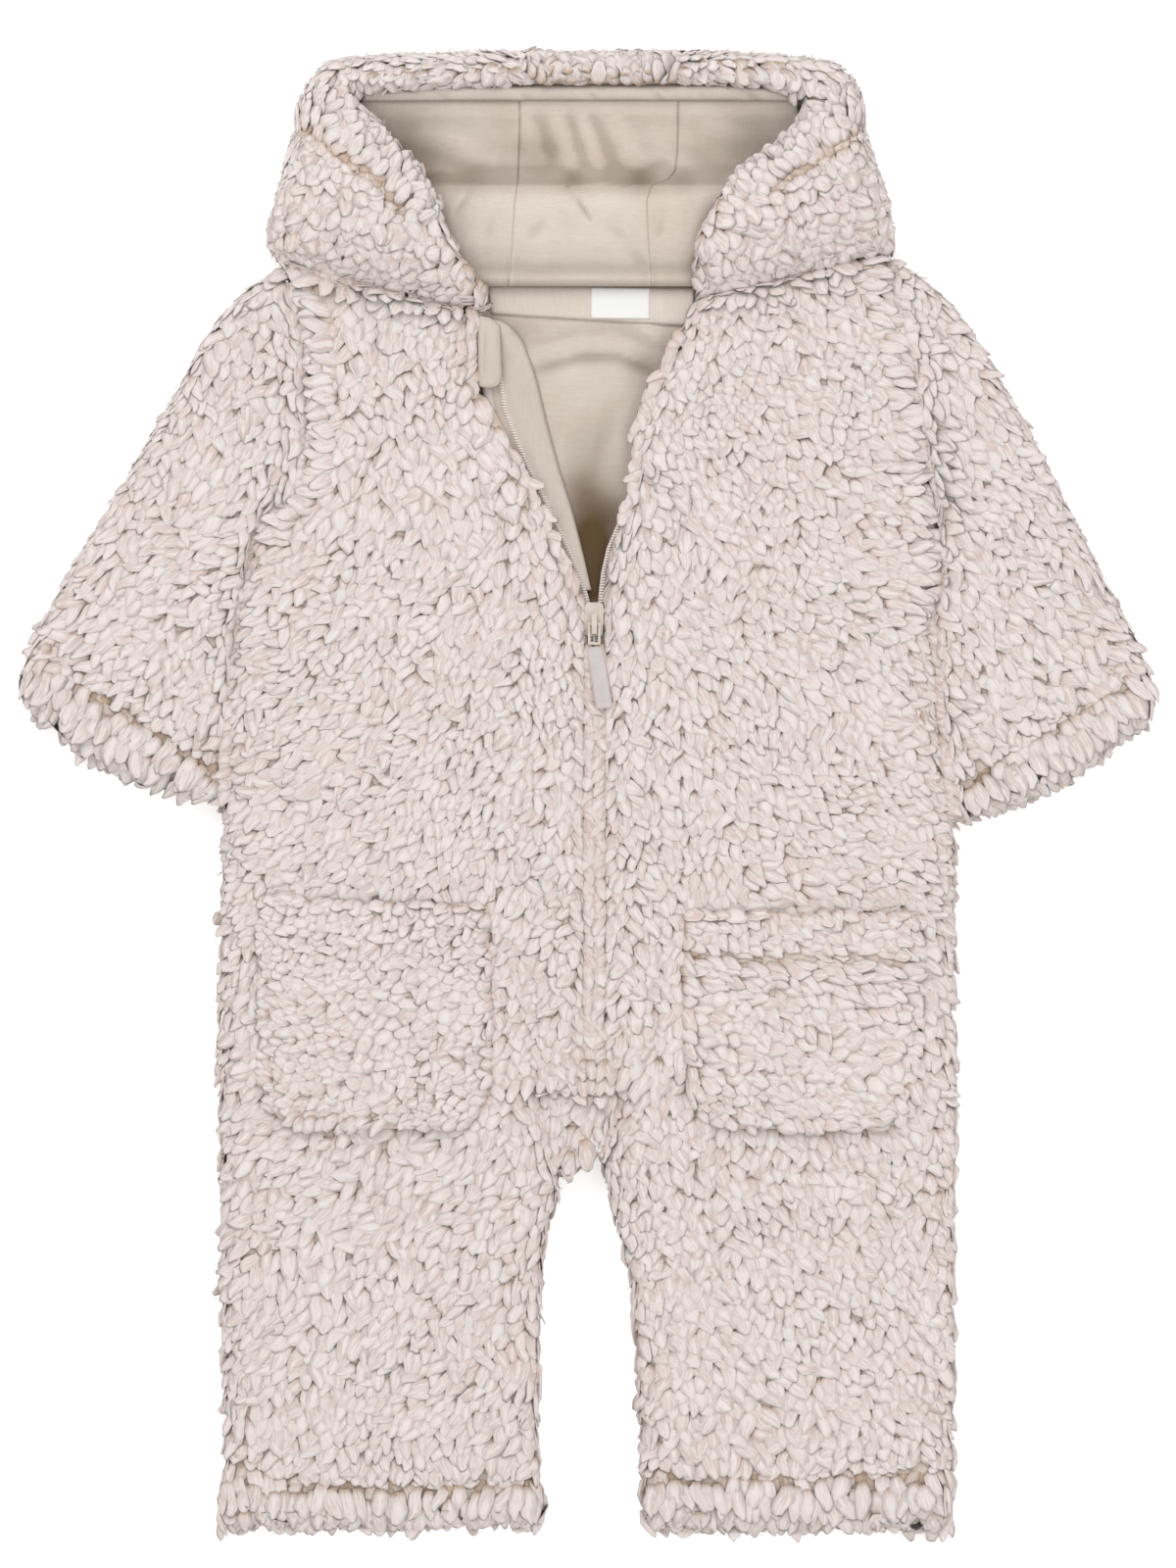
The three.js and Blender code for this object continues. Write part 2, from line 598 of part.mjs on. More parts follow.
const guardRows = [
  [-48.9, 211.6, -42, 209.5], [-49, 208, -38.5, 206], [-49, 201, -38.2, 199.5], [-49, 184, -37.6, 184],
  [-48.6, 179, -38.5, 179], [-46, 178.2, -40, 178.2],
];
const guardLow = coilTop + seamGap;
const guardThick = 4;
const guardEdge = 0.55;      // share of that thickness at its folded edges
const chinGuard = () => patch('chin_guard', facingCloth(), guardRows, [0, 0.15, 0.5, 0.85, 1],
  (x, y, share, down) => guardLow + guardThick * (share % 1 === 0 || down % 1 === 0 ? guardEdge : 1),
  () => guardLow);

// The zip: each half is a tape with its coil along the inner edge
const coilRight = [
  [-39.6, 198], [-37, 181], [-35.5, 170], [-30.5, 156], [-24.5, 142], [-17, 127.5], [-6, 104],
  [0.5, 87], [2.2, 80.5], [zipX - seamGap / 2, 76], [zipX - seamGap / 2, zipEnd],
];
const coilLeft = [
  [40.5, 205], [35.5, 191.5], [26.5, 174.5], [21.5, 162.5], [20, 146], [18.5, 132], [13.5, 119],
  [8.5, 107], [6, 96], [5, 87], [4.5, 80.5], [zipX + seamGap / 2, 76], [zipX + seamGap / 2, zipEnd],
];
function zipHalf(name, coil, away) {
  const section = [
    [tapeWidth, tapeTop], [coilWidth + 0.3, tapeTop], [coilWidth, coilTop - 0.5],
    [coilWidth - 0.6, coilTop], [0.4, coilTop], [0, coilTop - 0.4],
  ];
  const outer = coil.map(([x, y]) => section.map(([inset, z]) => [x + away * inset, y, z]));
  const inner = coil.map(([x, y]) => section.map(([inset]) => [x + away * inset, y, tapeLow]));
  return shell(name, tapeCloth(), outer, inner);
}

// Slider, link and pull tab
const slider = { top: 83, length: 15, width: 8.6, plateLow: coilTop + seamGap, plate: 1.5, lower: 1.1 };
const bridge = { length: 9, width: 2.4, rise: 3.2, bar: 1.1, legs: 3.4, down: 9.5 };
const link = { bar: 1.1, width: 5.6, length: 10 };
const tab = {
  width: 7.2, length: 28, thick: 1.5, turn: 9.6, pitch: 7, corner: 0.8, shoulder: 1, cut: 2.2,
};
const sunk = 0.1;            // the bridge starts this far inside the slider's plate
const hingeY = slider.top - bridge.down;
const hingeZ = slider.plateLow + slider.plate + (bridge.rise - bridge.bar) / 2 - sunk;

function solid(geometry) {
  const bare = geometry.clone();
  bare.deleteAttribute('normal');
  bare.deleteAttribute('uv');
  const merged = mergeVertices(bare, 1e-4);
  return new wasm.Manifold(new wasm.Mesh({
    numProp: 3,
    vertProperties: new Float32Array(merged.getAttribute('position').array),
    triVerts: new Uint32Array(merged.getIndex().array),
  }));
}
function box(width, depth, height, x, y, z) {
  return new THREE.BoxGeometry(width, depth, height).translate(x, y, z);
}
function fromManifold(name, material, body) {
  const { vertProperties, triVerts, numProp } = body.getMesh();
  const points = [];
  for (let i = 0; i < vertProperties.length; i += numProp) {
    points.push([vertProperties[i], vertProperties[i + 1], vertProperties[i + 2]]);
  }
  return meshFrom(name, material, points, [...triVerts]);
}

// A plate that narrows towards its lower end, drawn in plan and raised to its thickness
function shieldPlate(width, length, thick, z) {
  const half = width / 2;
  const shape = new THREE.Shape();
  shape.moveTo(-half * 0.62, 0);
  shape.quadraticCurveTo(-half, -0.6, -half, -3.4);
  shape.lineTo(-half * 0.86, -length + 1.2);
  shape.quadraticCurveTo(-half * 0.8, -length, -half * 0.6, -length);
  shape.lineTo(half * 0.6, -length);
  shape.quadraticCurveTo(half * 0.8, -length, half * 0.86, -length + 1.2);
  shape.lineTo(half, -3.4);
  shape.quadraticCurveTo(half, -0.6, half * 0.62, 0);
  shape.closePath();
  const plate = new THREE.ExtrudeGeometry(shape, { depth: thick, bevelEnabled: false, curveSegments: 4 });
  return plate.translate(zipX, slider.top, z);
}

function zipSlider() {
  const { plateLow, plate, length, width, lower, top } = slider;
  const plateTop = plateLow + plate;
  const lowerZ = placketLow;
  const post = box(1, 2, plateLow - lowerZ + 0.4, zipX + 0.2, top - 1.9, (plateLow + lowerZ) / 2);
  const arch = box(bridge.width, bridge.length, bridge.rise, zipX, hingeY, plateTop + bridge.rise / 2 - sunk);
  const hole = box(width, bridge.length - bridge.legs, bridge.rise - bridge.bar, zipX, hingeY,
    plateTop + (bridge.rise - bridge.bar) / 2 - sunk);
  const body = solid(shieldPlate(width, length, plate, plateLow))
    .add(solid(shieldPlate(width - 1.8, length, lower, lowerZ)))
    .add(solid(post))
    .add(solid(arch).subtract(solid(hole)));
  return fromManifold('zip_slider', paintedMetal(), body);
}

// The link hangs in the bridge and holds the tab's upper edge. Both are drawn flat, pointing
// down from the hinge line, then pitched up to lie on the pile.
function pitched(geometry) {
  return geometry.rotateX(-THREE.MathUtils.degToRad(tab.pitch)).translate(zipX, hingeY, hingeZ);
}
function pullLink() {
  const { bar, width, length } = link;
  const frame = solid(pitched(box(width, length, bar, 0, -length / 2 + bar / 2, 0)))
    .subtract(solid(pitched(box(width - 2 * bar, length - 2 * bar, 3, 0, -length / 2 + bar / 2, 0))));
  return fromManifold('pull_link', paintedMetal(), frame);
}
function pullTab() {
  const { width, length, thick, turn, corner, shoulder, cut } = tab;
  const shape = new THREE.Shape();
  const half = width / 2;
  shape.moveTo(-half + shoulder, 0);
  shape.lineTo(half - cut, 0);
  shape.lineTo(half, -cut);
  shape.lineTo(half, -length + corner);
  shape.lineTo(half - corner, -length);
  shape.lineTo(-half + corner, -length);
  shape.lineTo(-half, -length + corner);
  shape.lineTo(-half, -shoulder);
  shape.closePath();
  const plate = new THREE.ExtrudeGeometry(shape, { depth: thick, bevelEnabled: false });
  plate.translate(0, 0, -thick / 2);
  plate.rotateZ(THREE.MathUtils.degToRad(turn));
  plate.translate(0, -link.length + link.bar / 2 - 0.8, 0);
  return fromManifold('pull_tab', paintedMetal(), solid(pitched(plate)));
}

const overall = new THREE.Group();
overall.add(
  front('front_right', frontRightRows),
  front('front_left', frontLeftRows),
  back('back_right', frontRightRows, zipX - seamGap / 2),
  back('back_left', frontLeftRows, zipX + seamGap / 2),
  gusset(),
  sleeve('sleeve_right', armholeRight, sleeveRightRows),
  sleeve('sleeve_left', armholeLeft, sleeveLeftRows),
  pocket('pocket_right', pocketRightRows),
  pocket('pocket_left', pocketLeftRows),
  hoodCentre(),
  hoodSide('hood_side_right', hoodRightRows),
  hoodSide('hood_side_left', hoodLeftRows),
  hoodLiningPiece('lining_hood_right', 'right', 'seamRight'),
  hoodLiningPiece('lining_hood_centre', 'seamRight', 'seamLeft'),
  hoodLiningPiece('lining_hood_left', 'seamLeft', 'left'),
  hoodCasing(),
  backLining(),
  neckTape(),
  labelPatch(),
  placket(),
  chinGuard(),
  zipHalf('zip_right', coilRight, -1),
  zipHalf('zip_left', coilLeft, 1),
  zipSlider(),
  pullLink(),
  pullTab(),
);

export default overall;
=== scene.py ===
import itertools
import math

import bmesh
import bpy
import numpy as np
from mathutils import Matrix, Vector
from mathutils.bvhtree import BVHTree
from mathutils.kdtree import KDTree


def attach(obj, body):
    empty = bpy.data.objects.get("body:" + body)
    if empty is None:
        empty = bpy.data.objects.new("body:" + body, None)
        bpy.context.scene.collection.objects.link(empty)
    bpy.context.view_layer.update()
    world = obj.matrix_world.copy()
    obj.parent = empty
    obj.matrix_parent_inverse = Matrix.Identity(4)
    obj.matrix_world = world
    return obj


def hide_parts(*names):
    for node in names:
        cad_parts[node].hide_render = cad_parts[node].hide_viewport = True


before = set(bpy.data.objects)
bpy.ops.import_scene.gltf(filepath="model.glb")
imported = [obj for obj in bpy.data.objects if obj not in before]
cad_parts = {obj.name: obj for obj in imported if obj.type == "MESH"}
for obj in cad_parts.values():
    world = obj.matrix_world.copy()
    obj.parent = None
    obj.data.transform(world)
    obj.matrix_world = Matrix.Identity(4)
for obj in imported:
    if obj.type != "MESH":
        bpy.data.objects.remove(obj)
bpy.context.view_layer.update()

mm = 0.001
body = "suit"
pull_body = "pull"
zip_x = 3.2

# Teddy panels: how far the ground of the pile lies inside the solid, the width and length of the
# flat cut, and the share of that box that it fills
fleece_cuts = {
    "front_right": (0.9, 161.5, 558, 0.86), "front_left": (0.9, 155.5, 562, 0.86),
    "back_right": (0.9, 165, 558, 0.86), "back_left": (0.9, 159, 562, 0.86),
    "crotch_gusset": (0.9, 37, 35, 0.8), "sleeve_right": (0.9, 235, 232, 0.6),
    "sleeve_left": (0.9, 235, 248, 0.6), "pocket_right": (0.5, 102, 102, 0.95),
    "pocket_left": (0.5, 104.5, 97, 0.95), "hood_centre": (1.6, 75, 150, 0.8),
    "hood_side_right": (0.9, 190, 130, 0.7), "hood_side_left": (0.9, 190, 130, 0.7),
}

# Nap: where the pile points in plan, 0 to the right and -90 down, with the length and width of
# a clump there. Rows blend by their distance.
flow_columns = "x y angle length width"
flow_reach = 34.0
flow_rows = [
    (-120, 200, -105, 11, 8), (-80, 190, -95, 10.5, 8), (-60, 150, -80, 11, 8.5),
    (-100, 130, -115, 11, 7.5), (-140, 90, -150, 12, 7), (-90, 70, -125, 11.5, 7),
    (-40, 60, -100, 11, 7), (-140, 20, -150, 12, 7), (-90, 10, -128, 11.5, 6.8),
    (-35, 0, -110, 11, 6.8), (-130, -40, -135, 11, 7), (-60, -30, -120, 11, 7),
    (-150, -90, -120, 12, 7), (-20, -80, -100, 11, 8), (-25, -130, -95, 11, 8),
    (-120, -180, -135, 12, 7.5), (-60, -190, -125, 12, 7.5), (-120, -240, -128, 12, 7.5),
    (-60, -250, -115, 12, 7.5), (-100, -300, -100, 12, 7.5),
    (110, 200, -60, 9.5, 8), (60, 180, -80, 9.5, 8), (90, 140, -60, 9, 7.5),
    (40, 100, -85, 12, 8), (80, 80, -75, 10, 7), (130, 110, -35, 11, 7.5),
    (30, 20, -88, 11, 7), (80, 20, -55, 11, 7), (135, 30, -45, 11, 7.5),
    (30, -40, -75, 11, 7), (90, -25, -30, 10.5, 7), (140, -35, -30, 10.5, 7),
    (25, -110, -95, 11, 8), (158, -100, -60, 11, 7.5), (40, -180, -80, 11, 8),
    (100, -190, -65, 10.5, 8), (60, -240, -80, 11, 8.5), (130, -240, -70, 11, 8),
    (90, -300, -88, 12, 8.5),
    (-180, 150, -125, 12, 7), (-160, 100, -135, 12, 7), (-215, 80, -140, 13, 7),
    (-180, 50, -130, 11, 7), (175, 150, -50, 12, 7), (185, 90, -50, 12, 7),
    (220, 70, -45, 12, 7), (180, 30, -60, 11, 7),
]
# The same all over a node: angle, length and width. Pockets are finer, and the hood is cobbled.
even_flow = {"pocket_right": (-160, 8.6, 7.4), "pocket_left": (-35, 9.2, 8.2),
             "hood_side_right": (-118, 9.6, 8.8), "hood_side_left": (-62, 9.6, 8.8),
             "hood_centre": (88, 9.2, 8)}

# Seams and stitch lines that hold the pile down, in plan
groove_reach = 3.4
grooves = {
    "sleeve_hem_right": [(-228, 46), (-212, 35), (-196, 26.5), (-180, 16), (-163, 6.5)],
    "sleeve_hem_left": [(238, 43.5), (217, 31.5), (197, 19.5), (182, 10), (168, 2)],
    "leg_hem_right": [(-162, -299), (-132, -310), (-88, -313), (-24, -311.5)],
    "leg_hem_left": [(25, -306.5), (85, -308.5), (157.5, -305)],
    "pocket_left_hem": [(44, -73), (70, -75), (148, -76)],
    "hood_rim_right": [(-128, 292), (-125, 293), (-114, 284), (-100, 276), (-91, 266.5), (-82, 256)],
    "hood_rim_left": [(125, 295.5), (98, 275.5), (81, 266.5)],
    "front_seam": [(zip_x, 68), (zip_x, -129)],
}


# Bands where the pile is combed across a line: the nodes, the line, then the way it points, how far
# the band reaches before and beyond the line that way, and a clump's length and width there
bands = [
    (("sleeve_right",), "sleeve_hem_right", (-121, 1, 22, 13, 8.6)),
    (("sleeve_left",), "sleeve_hem_left", (-59, 1, 22, 13, 8.6)),
    (("front_right", "back_right"), "leg_hem_right", (-90, 1, 22, 13, 8.8)),
    (("front_left", "back_left"), "leg_hem_left", (-90, 1, 22, 13, 8.8)),
    (("hood_side_right",), "hood_rim_right", (52, 1, 20, 9, 7.6)),
    (("hood_side_left",), "hood_rim_left", (123, 1, 20, 9, 7.6)),
    (("front_right",), "armhole_right", (188, 12, 5, 12, 7.5)),
    (("front_left",), "armhole_left", (-8, 12, 5, 12, 7.5)),
    (("front_right",), "front_seam", (-68, 9, 4, 11, 7)),
    (("front_left",), "front_seam", (-112, 9, 6, 11, 7)),
    (("pocket_left",), "pocket_left_hem", (-14, 3, 16, 11, 6)),
]
band_lines = {
    **grooves,
    "armhole_right": [(-133, 226), (-126.5, 200), (-124, 160), (-128, 136), (-144, 121)],
    "armhole_left": [(133, 229), (143, 200), (149, 165), (155, 120), (154, 80)],
}
# The right front's edge beside the open zip, where its pile stops
open_edge_right = [(-50.5, 211), (-49.5, 177.5), (-43.5, 174), (-34, 156), (-22, 131), (-9, 100.5),
                   (-4, 89.5)]

# Rolled hems and the welts of the armholes: the height in mm that they add to the pile, the groove
# beside a welt, and how far above a hem's stitches the pile stops short
rolled = ("sleeve_hem_right", "sleeve_hem_left", "leg_hem_right", "leg_hem_left",
          "hood_rim_right", "hood_rim_left")
roll_height = 1.1
welts = ("armhole_right", "armhole_left")
welt_height = 1.0
welt_groove = 0.7
welt_groove_width = 1.6
stitch_hold = 8.0


def roll_swell(node, plan):
    """Height in mm that the rolled hems and the welts add to the pile of a node."""
    total = np.zeros(len(plan))
    for nodes, line, (way, before, beyond, _, _) in bands:
        if node not in nodes:
            continue
        past = signed_distance(plan, band_lines[line], way)
        if line in rolled:
            total += roll_height * np.sin(np.pi * np.clip((past - 1) / (beyond * 0.8), 0, 1))
        if line in welts:
            total += welt_height * np.sin(np.pi * np.clip((past + before) / (before + 3), 0, 1))
            total -= welt_groove * np.exp(-((past + before + 1) / welt_groove_width) ** 2)
    return total


def table(columns, rows):
    """Rows as arrays, one for each named column."""
    values = np.array(rows, dtype=float)
    return {name: values[:, i] for i, name in enumerate(columns.split())}


# Vectors and noise
def unit(vectors):
    """Vectors of length one."""
    return vectors / np.maximum(np.linalg.norm(vectors, axis=-1, keepdims=True), 1e-12)


def smooth_noise(points, size, seed):
    """Noise from -1 to 1 at points, with features of about the given size."""
    grid = points / size + 512.0
    cell = np.floor(grid).astype(np.int64)
    part = grid - cell
    part = part * part * (3 - 2 * part)
    total = np.zeros(len(points))
    for corner in itertools.product((0, 1), repeat=3):
        at = cell + np.array(corner)
        mixed = ((at[:, 0] * 73856093) ^ (at[:, 1] * 19349663) ^ (at[:, 2] * 83492791)
                 ^ (seed * 2654435761))
        value = ((mixed * 1103515245 + 12345) >> 9 & 0xFFFF) / 32767.5 - 1
        weight = np.prod(np.where(np.array(corner) == 1, part, 1 - part), axis=1)
        total += weight * value
    return total


def nearest_on(plan, line):
    """Distance in plan from each point to a polyline, and its offset from the nearest place, in mm."""
    best = np.full(len(plan), 1e9)
    offsets = np.zeros((len(plan), 2))
    for a, b in zip(line[:-1], line[1:]):
        start = np.array(a, dtype=float)
        along = np.array(b, dtype=float) - start
        share = np.clip((plan - start) @ along / (along @ along), 0, 1)
        offset = plan - start - share[:, None] * along
        away = np.linalg.norm(offset, axis=1)
        nearer = away < best
        best = np.where(nearer, away, best)
        offsets = np.where(nearer[:, None], offset, offsets)
    return best, offsets


def signed_distance(plan, line, way):
    """Distance in plan to a polyline in mm, positive on the side that the angle points to."""
    heading = np.array([math.cos(math.radians(way)), math.sin(math.radians(way))])
    away, offsets = nearest_on(plan, line)
    return away * np.sign(offsets @ heading)


# Meshes
def node_mesh(name):
    """Points and triangles of a CAD node, with shared corners."""
    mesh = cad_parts[name].data
    mesh.calc_loop_triangles()
    points = np.empty(3 * len(mesh.vertices))
    mesh.vertices.foreach_get("co", points)
    faces = np.empty(3 * len(mesh.loop_triangles), dtype=np.int32)
    mesh.loop_triangles.foreach_get("vertices", faces)
    keys = np.round(points.reshape(-1, 3) / 2e-6).astype(np.int64)
    _, first, shared = np.unique(keys, axis=0, return_index=True, return_inverse=True)
    faces = shared.reshape(-1)[faces.reshape(-1, 3)]
    whole = (faces[:, 0] != faces[:, 1]) & (faces[:, 1] != faces[:, 2]) & (faces[:, 2] != faces[:, 0])
    return points.reshape(-1, 3)[first], faces[whole]


def face_vectors(points, faces):
    """Twice the area of each triangle, as a vector along its normal."""
    a, b, c = (points[faces[:, i]] for i in range(3))
    return np.cross(b - a, c - a)


def corner_normals(points, faces):
    """Smooth normals at the points of a triangle mesh."""
    across = face_vectors(points, faces)
    total = np.zeros_like(points)
    for i in range(3):
        np.add.at(total, faces[:, i], across)
    return unit(total)


def new_object(name, mesh, material, rides=body):
    """A piece on a body, with its material."""
    piece = bpy.data.objects.new(name, mesh)
    bpy.context.scene.collection.objects.link(piece)
    mesh.materials.append(material)
    mesh.polygons.foreach_set("use_smooth", np.ones(len(mesh.polygons), dtype=bool))
    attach(piece, rides)
    return piece


def mesh_of(name, points, corners, starts, values=None):
    """A mesh from arrays: corners lists the faces' points, starts where each face begins in it."""
    mesh = bpy.data.meshes.new(name)
    mesh.vertices.add(len(points))
    mesh.vertices.foreach_set("co", np.ascontiguousarray(points, dtype=np.float32).ravel())
    mesh.loops.add(len(corners))
    mesh.loops.foreach_set("vertex_index", np.ascontiguousarray(corners, dtype=np.int32))
    mesh.polygons.add(len(starts))
    mesh.polygons.foreach_set("loop_start", np.ascontiguousarray(starts, dtype=np.int32))
    for key, array in (values or {}).items():
        kind, field = ("FLOAT", "value") if array.ndim == 1 else ("FLOAT_VECTOR", "vector")
        layer = mesh.attributes.new(key, kind, "POINT")
        layer.data.foreach_set(field, np.ascontiguousarray(array, dtype=np.float32).ravel())
    mesh.update(calc_edges=True)
    mesh.validate()
    return mesh


def tube_faces(rings, sides):
    """Corners and starts of a closed tube's faces: its rings' points, then its root and its tip."""
    root, tip, last = rings * sides, rings * sides + 1, (rings - 1) * sides
    after = [(m + 1) % sides for m in range(sides)]
    faces = [(k + m, k + after[m], k + sides + after[m], k + sides + m)
             for k in range(0, last, sides) for m in range(sides)]
    faces += [(root, after[m], m) for m in range(sides)]
    faces += [(tip, last + m, last + after[m]) for m in range(sides)]
    sizes = [len(face) for face in faces]
    return np.concatenate(faces), np.concatenate([[0], np.cumsum(sizes)[:-1]])


def copies(corners, starts, each, count):
    """The same faces for many copies of a form with this many points each."""
    shift = np.arange(count)[:, None]
    return (corners + each * shift).ravel(), (starts + len(corners) * shift).ravel()


# Materials
def fill(tree, node, inputs):
    """Sets a node's inputs, or links them where a socket is given."""
    for key, value in inputs.items():
        if isinstance(value, bpy.types.NodeSocket):
            tree.links.new(value, node.inputs[key])
        else:
            node.inputs[key].default_value = value


def node_material(name):
    """A material, and a function that adds nodes to it."""
    material = bpy.data.materials.new(name)
    material.use_nodes = True

    def add(kind, inputs=None, **settings):
        node = material.node_tree.nodes.new(kind)
        for key, value in settings.items():
            setattr(node, key, value)
        fill(material.node_tree, node, inputs or {})
        return node

    return material, add


def finished(material, inputs):
    """The material, with these inputs of its shader set or linked."""
    fill(material.node_tree, material.node_tree.nodes["Principled BSDF"], inputs)
    return material


def placed(add):
    """Places in metres, for textures."""
    return add("ShaderNodeTexCoord").outputs["Object"]


def attribute(add, name, output="Fac"):
    """A value that the mesh holds at its points."""
    return add("ShaderNodeAttribute", attribute_name=name).outputs[output]


def noise(add, vector, scale, detail, roughness=0.5):
    """Soft noise from 0 to 1."""
    return add("ShaderNodeTexNoise", {"Vector": vector, "Scale": scale, "Detail": detail,
                                      "Roughness": roughness}).outputs["Fac"]


def relief(add, height, strength, distance):
    """Normals of a fine relief."""
    return add("ShaderNodeBump", {"Height": height, "Strength": strength,
                                  "Distance": distance}).outputs["Normal"]


def multiplied(add, a, b):
    """The product of two values."""
    return add("ShaderNodeMath", {0: a, 1: b}, operation="MULTIPLY").outputs[0]


def linear(red, green, blue):
    """A linear colour from sRGB values of 0 to 255."""
    def one(value):
        share = value / 255
        return share / 12.92 if share <= 0.04045 else ((share + 0.055) / 1.055) ** 2.4
    return (one(red), one(green), one(blue), 1.0)


def ramp(add, factor, stops):
    """A colour ramp from a list of positions and colours."""
    node = add("ShaderNodeValToRGB", {"Fac": factor})
    while len(node.color_ramp.elements) < len(stops):
        node.color_ramp.elements.new(0.5)
    for element, (place, colour) in zip(node.color_ramp.elements, stops):
        element.position = place
        element.color = colour
    return node.outputs["Color"]


# The root's tan is partly the fibres' own tone and partly painted shade in the crevices between clumps
fleece_root_tan_and_shade = linear(206, 181, 159)
fleece_mid = linear(237, 224, 219)
fleece_tip = linear(241, 231, 229)
fleece_warm = linear(250, 243, 236)
fleece_streaks = [(0.34, linear(229, 217, 207)), (0.56, linear(255, 255, 255))]
# Brown that the jersey's painted shade darkens towards
painted_shade_tone = linear(94, 74, 50)


def fleece_material():
    """Clumps of fine pile: tan at the roots, partly the fibres' own tone and partly painted shade in the
    crevices, cream at the tips, combed along each clump.
    """
    material, add = node_material("teddy_fleece")
    place = placed(add)
    # Painted shade and real tone: the colour runs from tan low in the crevices to cream at the clumps' tips
    base = ramp(add, attribute(add, "rise"), [(0.0, fleece_root_tan_and_shade), (0.5, fleece_mid), (0.85, fleece_tip)])
    patches = noise(add, place, 14.0, 2.0)
    warm = multiplied(add, patches, multiplied(add, attribute(add, "tint"), 0.6))
    tone = add("ShaderNodeMix", {"Factor": warm, "A": base}, data_type="RGBA", blend_type="MULTIPLY")
    tone.inputs["B"].default_value = fleece_warm
    hairs = noise(add, attribute(add, "strand", "Vector"), 1.0, 3.0, 0.65)
    streak = ramp(add, hairs, fleece_streaks)
    mixed = add("ShaderNodeMix", {"Factor": 0.9, "A": tone.outputs["Result"], "B": streak},
                data_type="RGBA", blend_type="MULTIPLY")
    calm = noise(add, place, 55.0, 2.0)
    lean = add("ShaderNodeMapRange", {"Value": calm, "From Min": 0.3, "From Max": 0.7, "To Min": 0.68,
                                      "To Max": 0.95}).outputs["Result"]
    softer = add("ShaderNodeMix", {"Factor": lean, "A": relief(add, hairs, 0.55, 0.0007),
                                   "B": attribute(add, "facing", "Vector")}, data_type="VECTOR")
    normal = add("ShaderNodeVectorMath", {0: softer.outputs["Result"]}, operation="NORMALIZE")
    return finished(material, {
        "Base Color": mixed.outputs["Result"], "Normal": normal.outputs["Vector"], "Roughness": 0.92,
        "Subsurface Weight": 0.12, "Subsurface Scale": 2.5 * mm, "Subsurface Radius": (1.0, 0.92, 0.86),
        "Sheen Weight": 0.25, "Sheen Roughness": 0.6, "Specular IOR Level": 0.15})


def jersey_material(name, dark, light, heather=0.5, turn=0.0):
    """Cotton jersey: fine ribs of knit with a faint heather of darker fibres, and painted shade in its
    creases, at its seams and where it lies deep.
    """
    material, add = node_material(name)
    place = placed(add)
    turned = add("ShaderNodeMapping", {"Vector": place, "Rotation": (0, 0, math.radians(turn))})
    stretched = add("ShaderNodeMapping", {"Vector": turned.outputs["Vector"], "Scale": (0.22, 1.6, 1)})
    fibres = noise(add, stretched.outputs["Vector"], 800.0, 4.0, 0.7)
    clouds = noise(add, place, 26.0, 3.0)
    blend = add("ShaderNodeMix", {"Factor": heather, "A": clouds, "B": fibres}, data_type="FLOAT")
    colour = ramp(add, blend.outputs["Result"], [(0.32, dark), (0.66, light)])
    # Painted shade: the knit's colour darkens towards a brown in creases, at seams and where the sheet lies
    # deep
    shaded = add("ShaderNodeMix", {"Factor": attribute(add, "painted_shade"), "A": colour, "B": painted_shade_tone},
                 data_type="RGBA")
    wales = add("ShaderNodeTexWave", {"Vector": turned.outputs["Vector"], "Scale": 320.0,
                                      "Distortion": 0.6, "Detail": 1.0}, wave_profile="SIN")
    knit = add("ShaderNodeMath", {0: wales.outputs["Fac"], 1: fibres}, operation="ADD").outputs[0]
    return finished(material, {
        "Base Color": shaded.outputs["Result"], "Normal": relief(add, knit, 0.22, 0.0003),
        "Roughness": 0.88, "Sheen Weight": 0.12, "Specular IOR Level": 0.2})


def textured_material(name, kind, pattern, stops, bump, surface, **settings):
    """A material whose colour and relief follow one pattern; bump is its strength and distance."""
    material, add = node_material(name)
    height = add("ShaderNodeTex" + kind, {"Vector": placed(add), **pattern}, **settings).outputs["Fac"]
    colour = ramp(add, height, stops)
    normal = {"Normal": relief(add, height, *bump)} if bump else {}
    return finished(material, {"Base Color": colour, **normal, **surface})


def ground_material():
    """The knitted ground under the pile, seen only between clumps."""
    return textured_material("fleece_ground", "Noise", {"Scale": 900.0, "Detail": 3.0},
                             [(0.3, linear(216, 198, 182)), (0.7, linear(230, 216, 206))],
                             (0.6, 0.0006), {"Roughness": 0.95})


def tape_material(name, dark, light):
    """Polyester of the zip: a herringbone of fine threads."""
    return textured_material(name, "Wave", {"Scale": 700.0, "Distortion": 1.5},
                             [(0.2, dark), (0.8, light)], (0.4, 0.0002), {"Roughness": 0.6},
                             bands_direction="DIAGONAL")


def paint_material(name, dark, light):
    """Zinc with a thick coat of paint."""
    return textured_material(name, "Noise", {"Scale": 240.0, "Detail": 2.0},
                             [(0.3, dark), (0.7, light)], (0.08, 0.0003),
                             {"Roughness": 0.38, "Coat Weight": 0.25, "Coat Roughness": 0.3})


def satin_material():
    """White woven satin."""
    return textured_material("label_satin", "Wave", {"Scale": 900.0, "Distortion": 0.4},
                             [(0.1, linear(240, 240, 239)), (0.9, linear(250, 250, 250))],
                             (0.15, 0.0002), {"Roughness": 0.45})


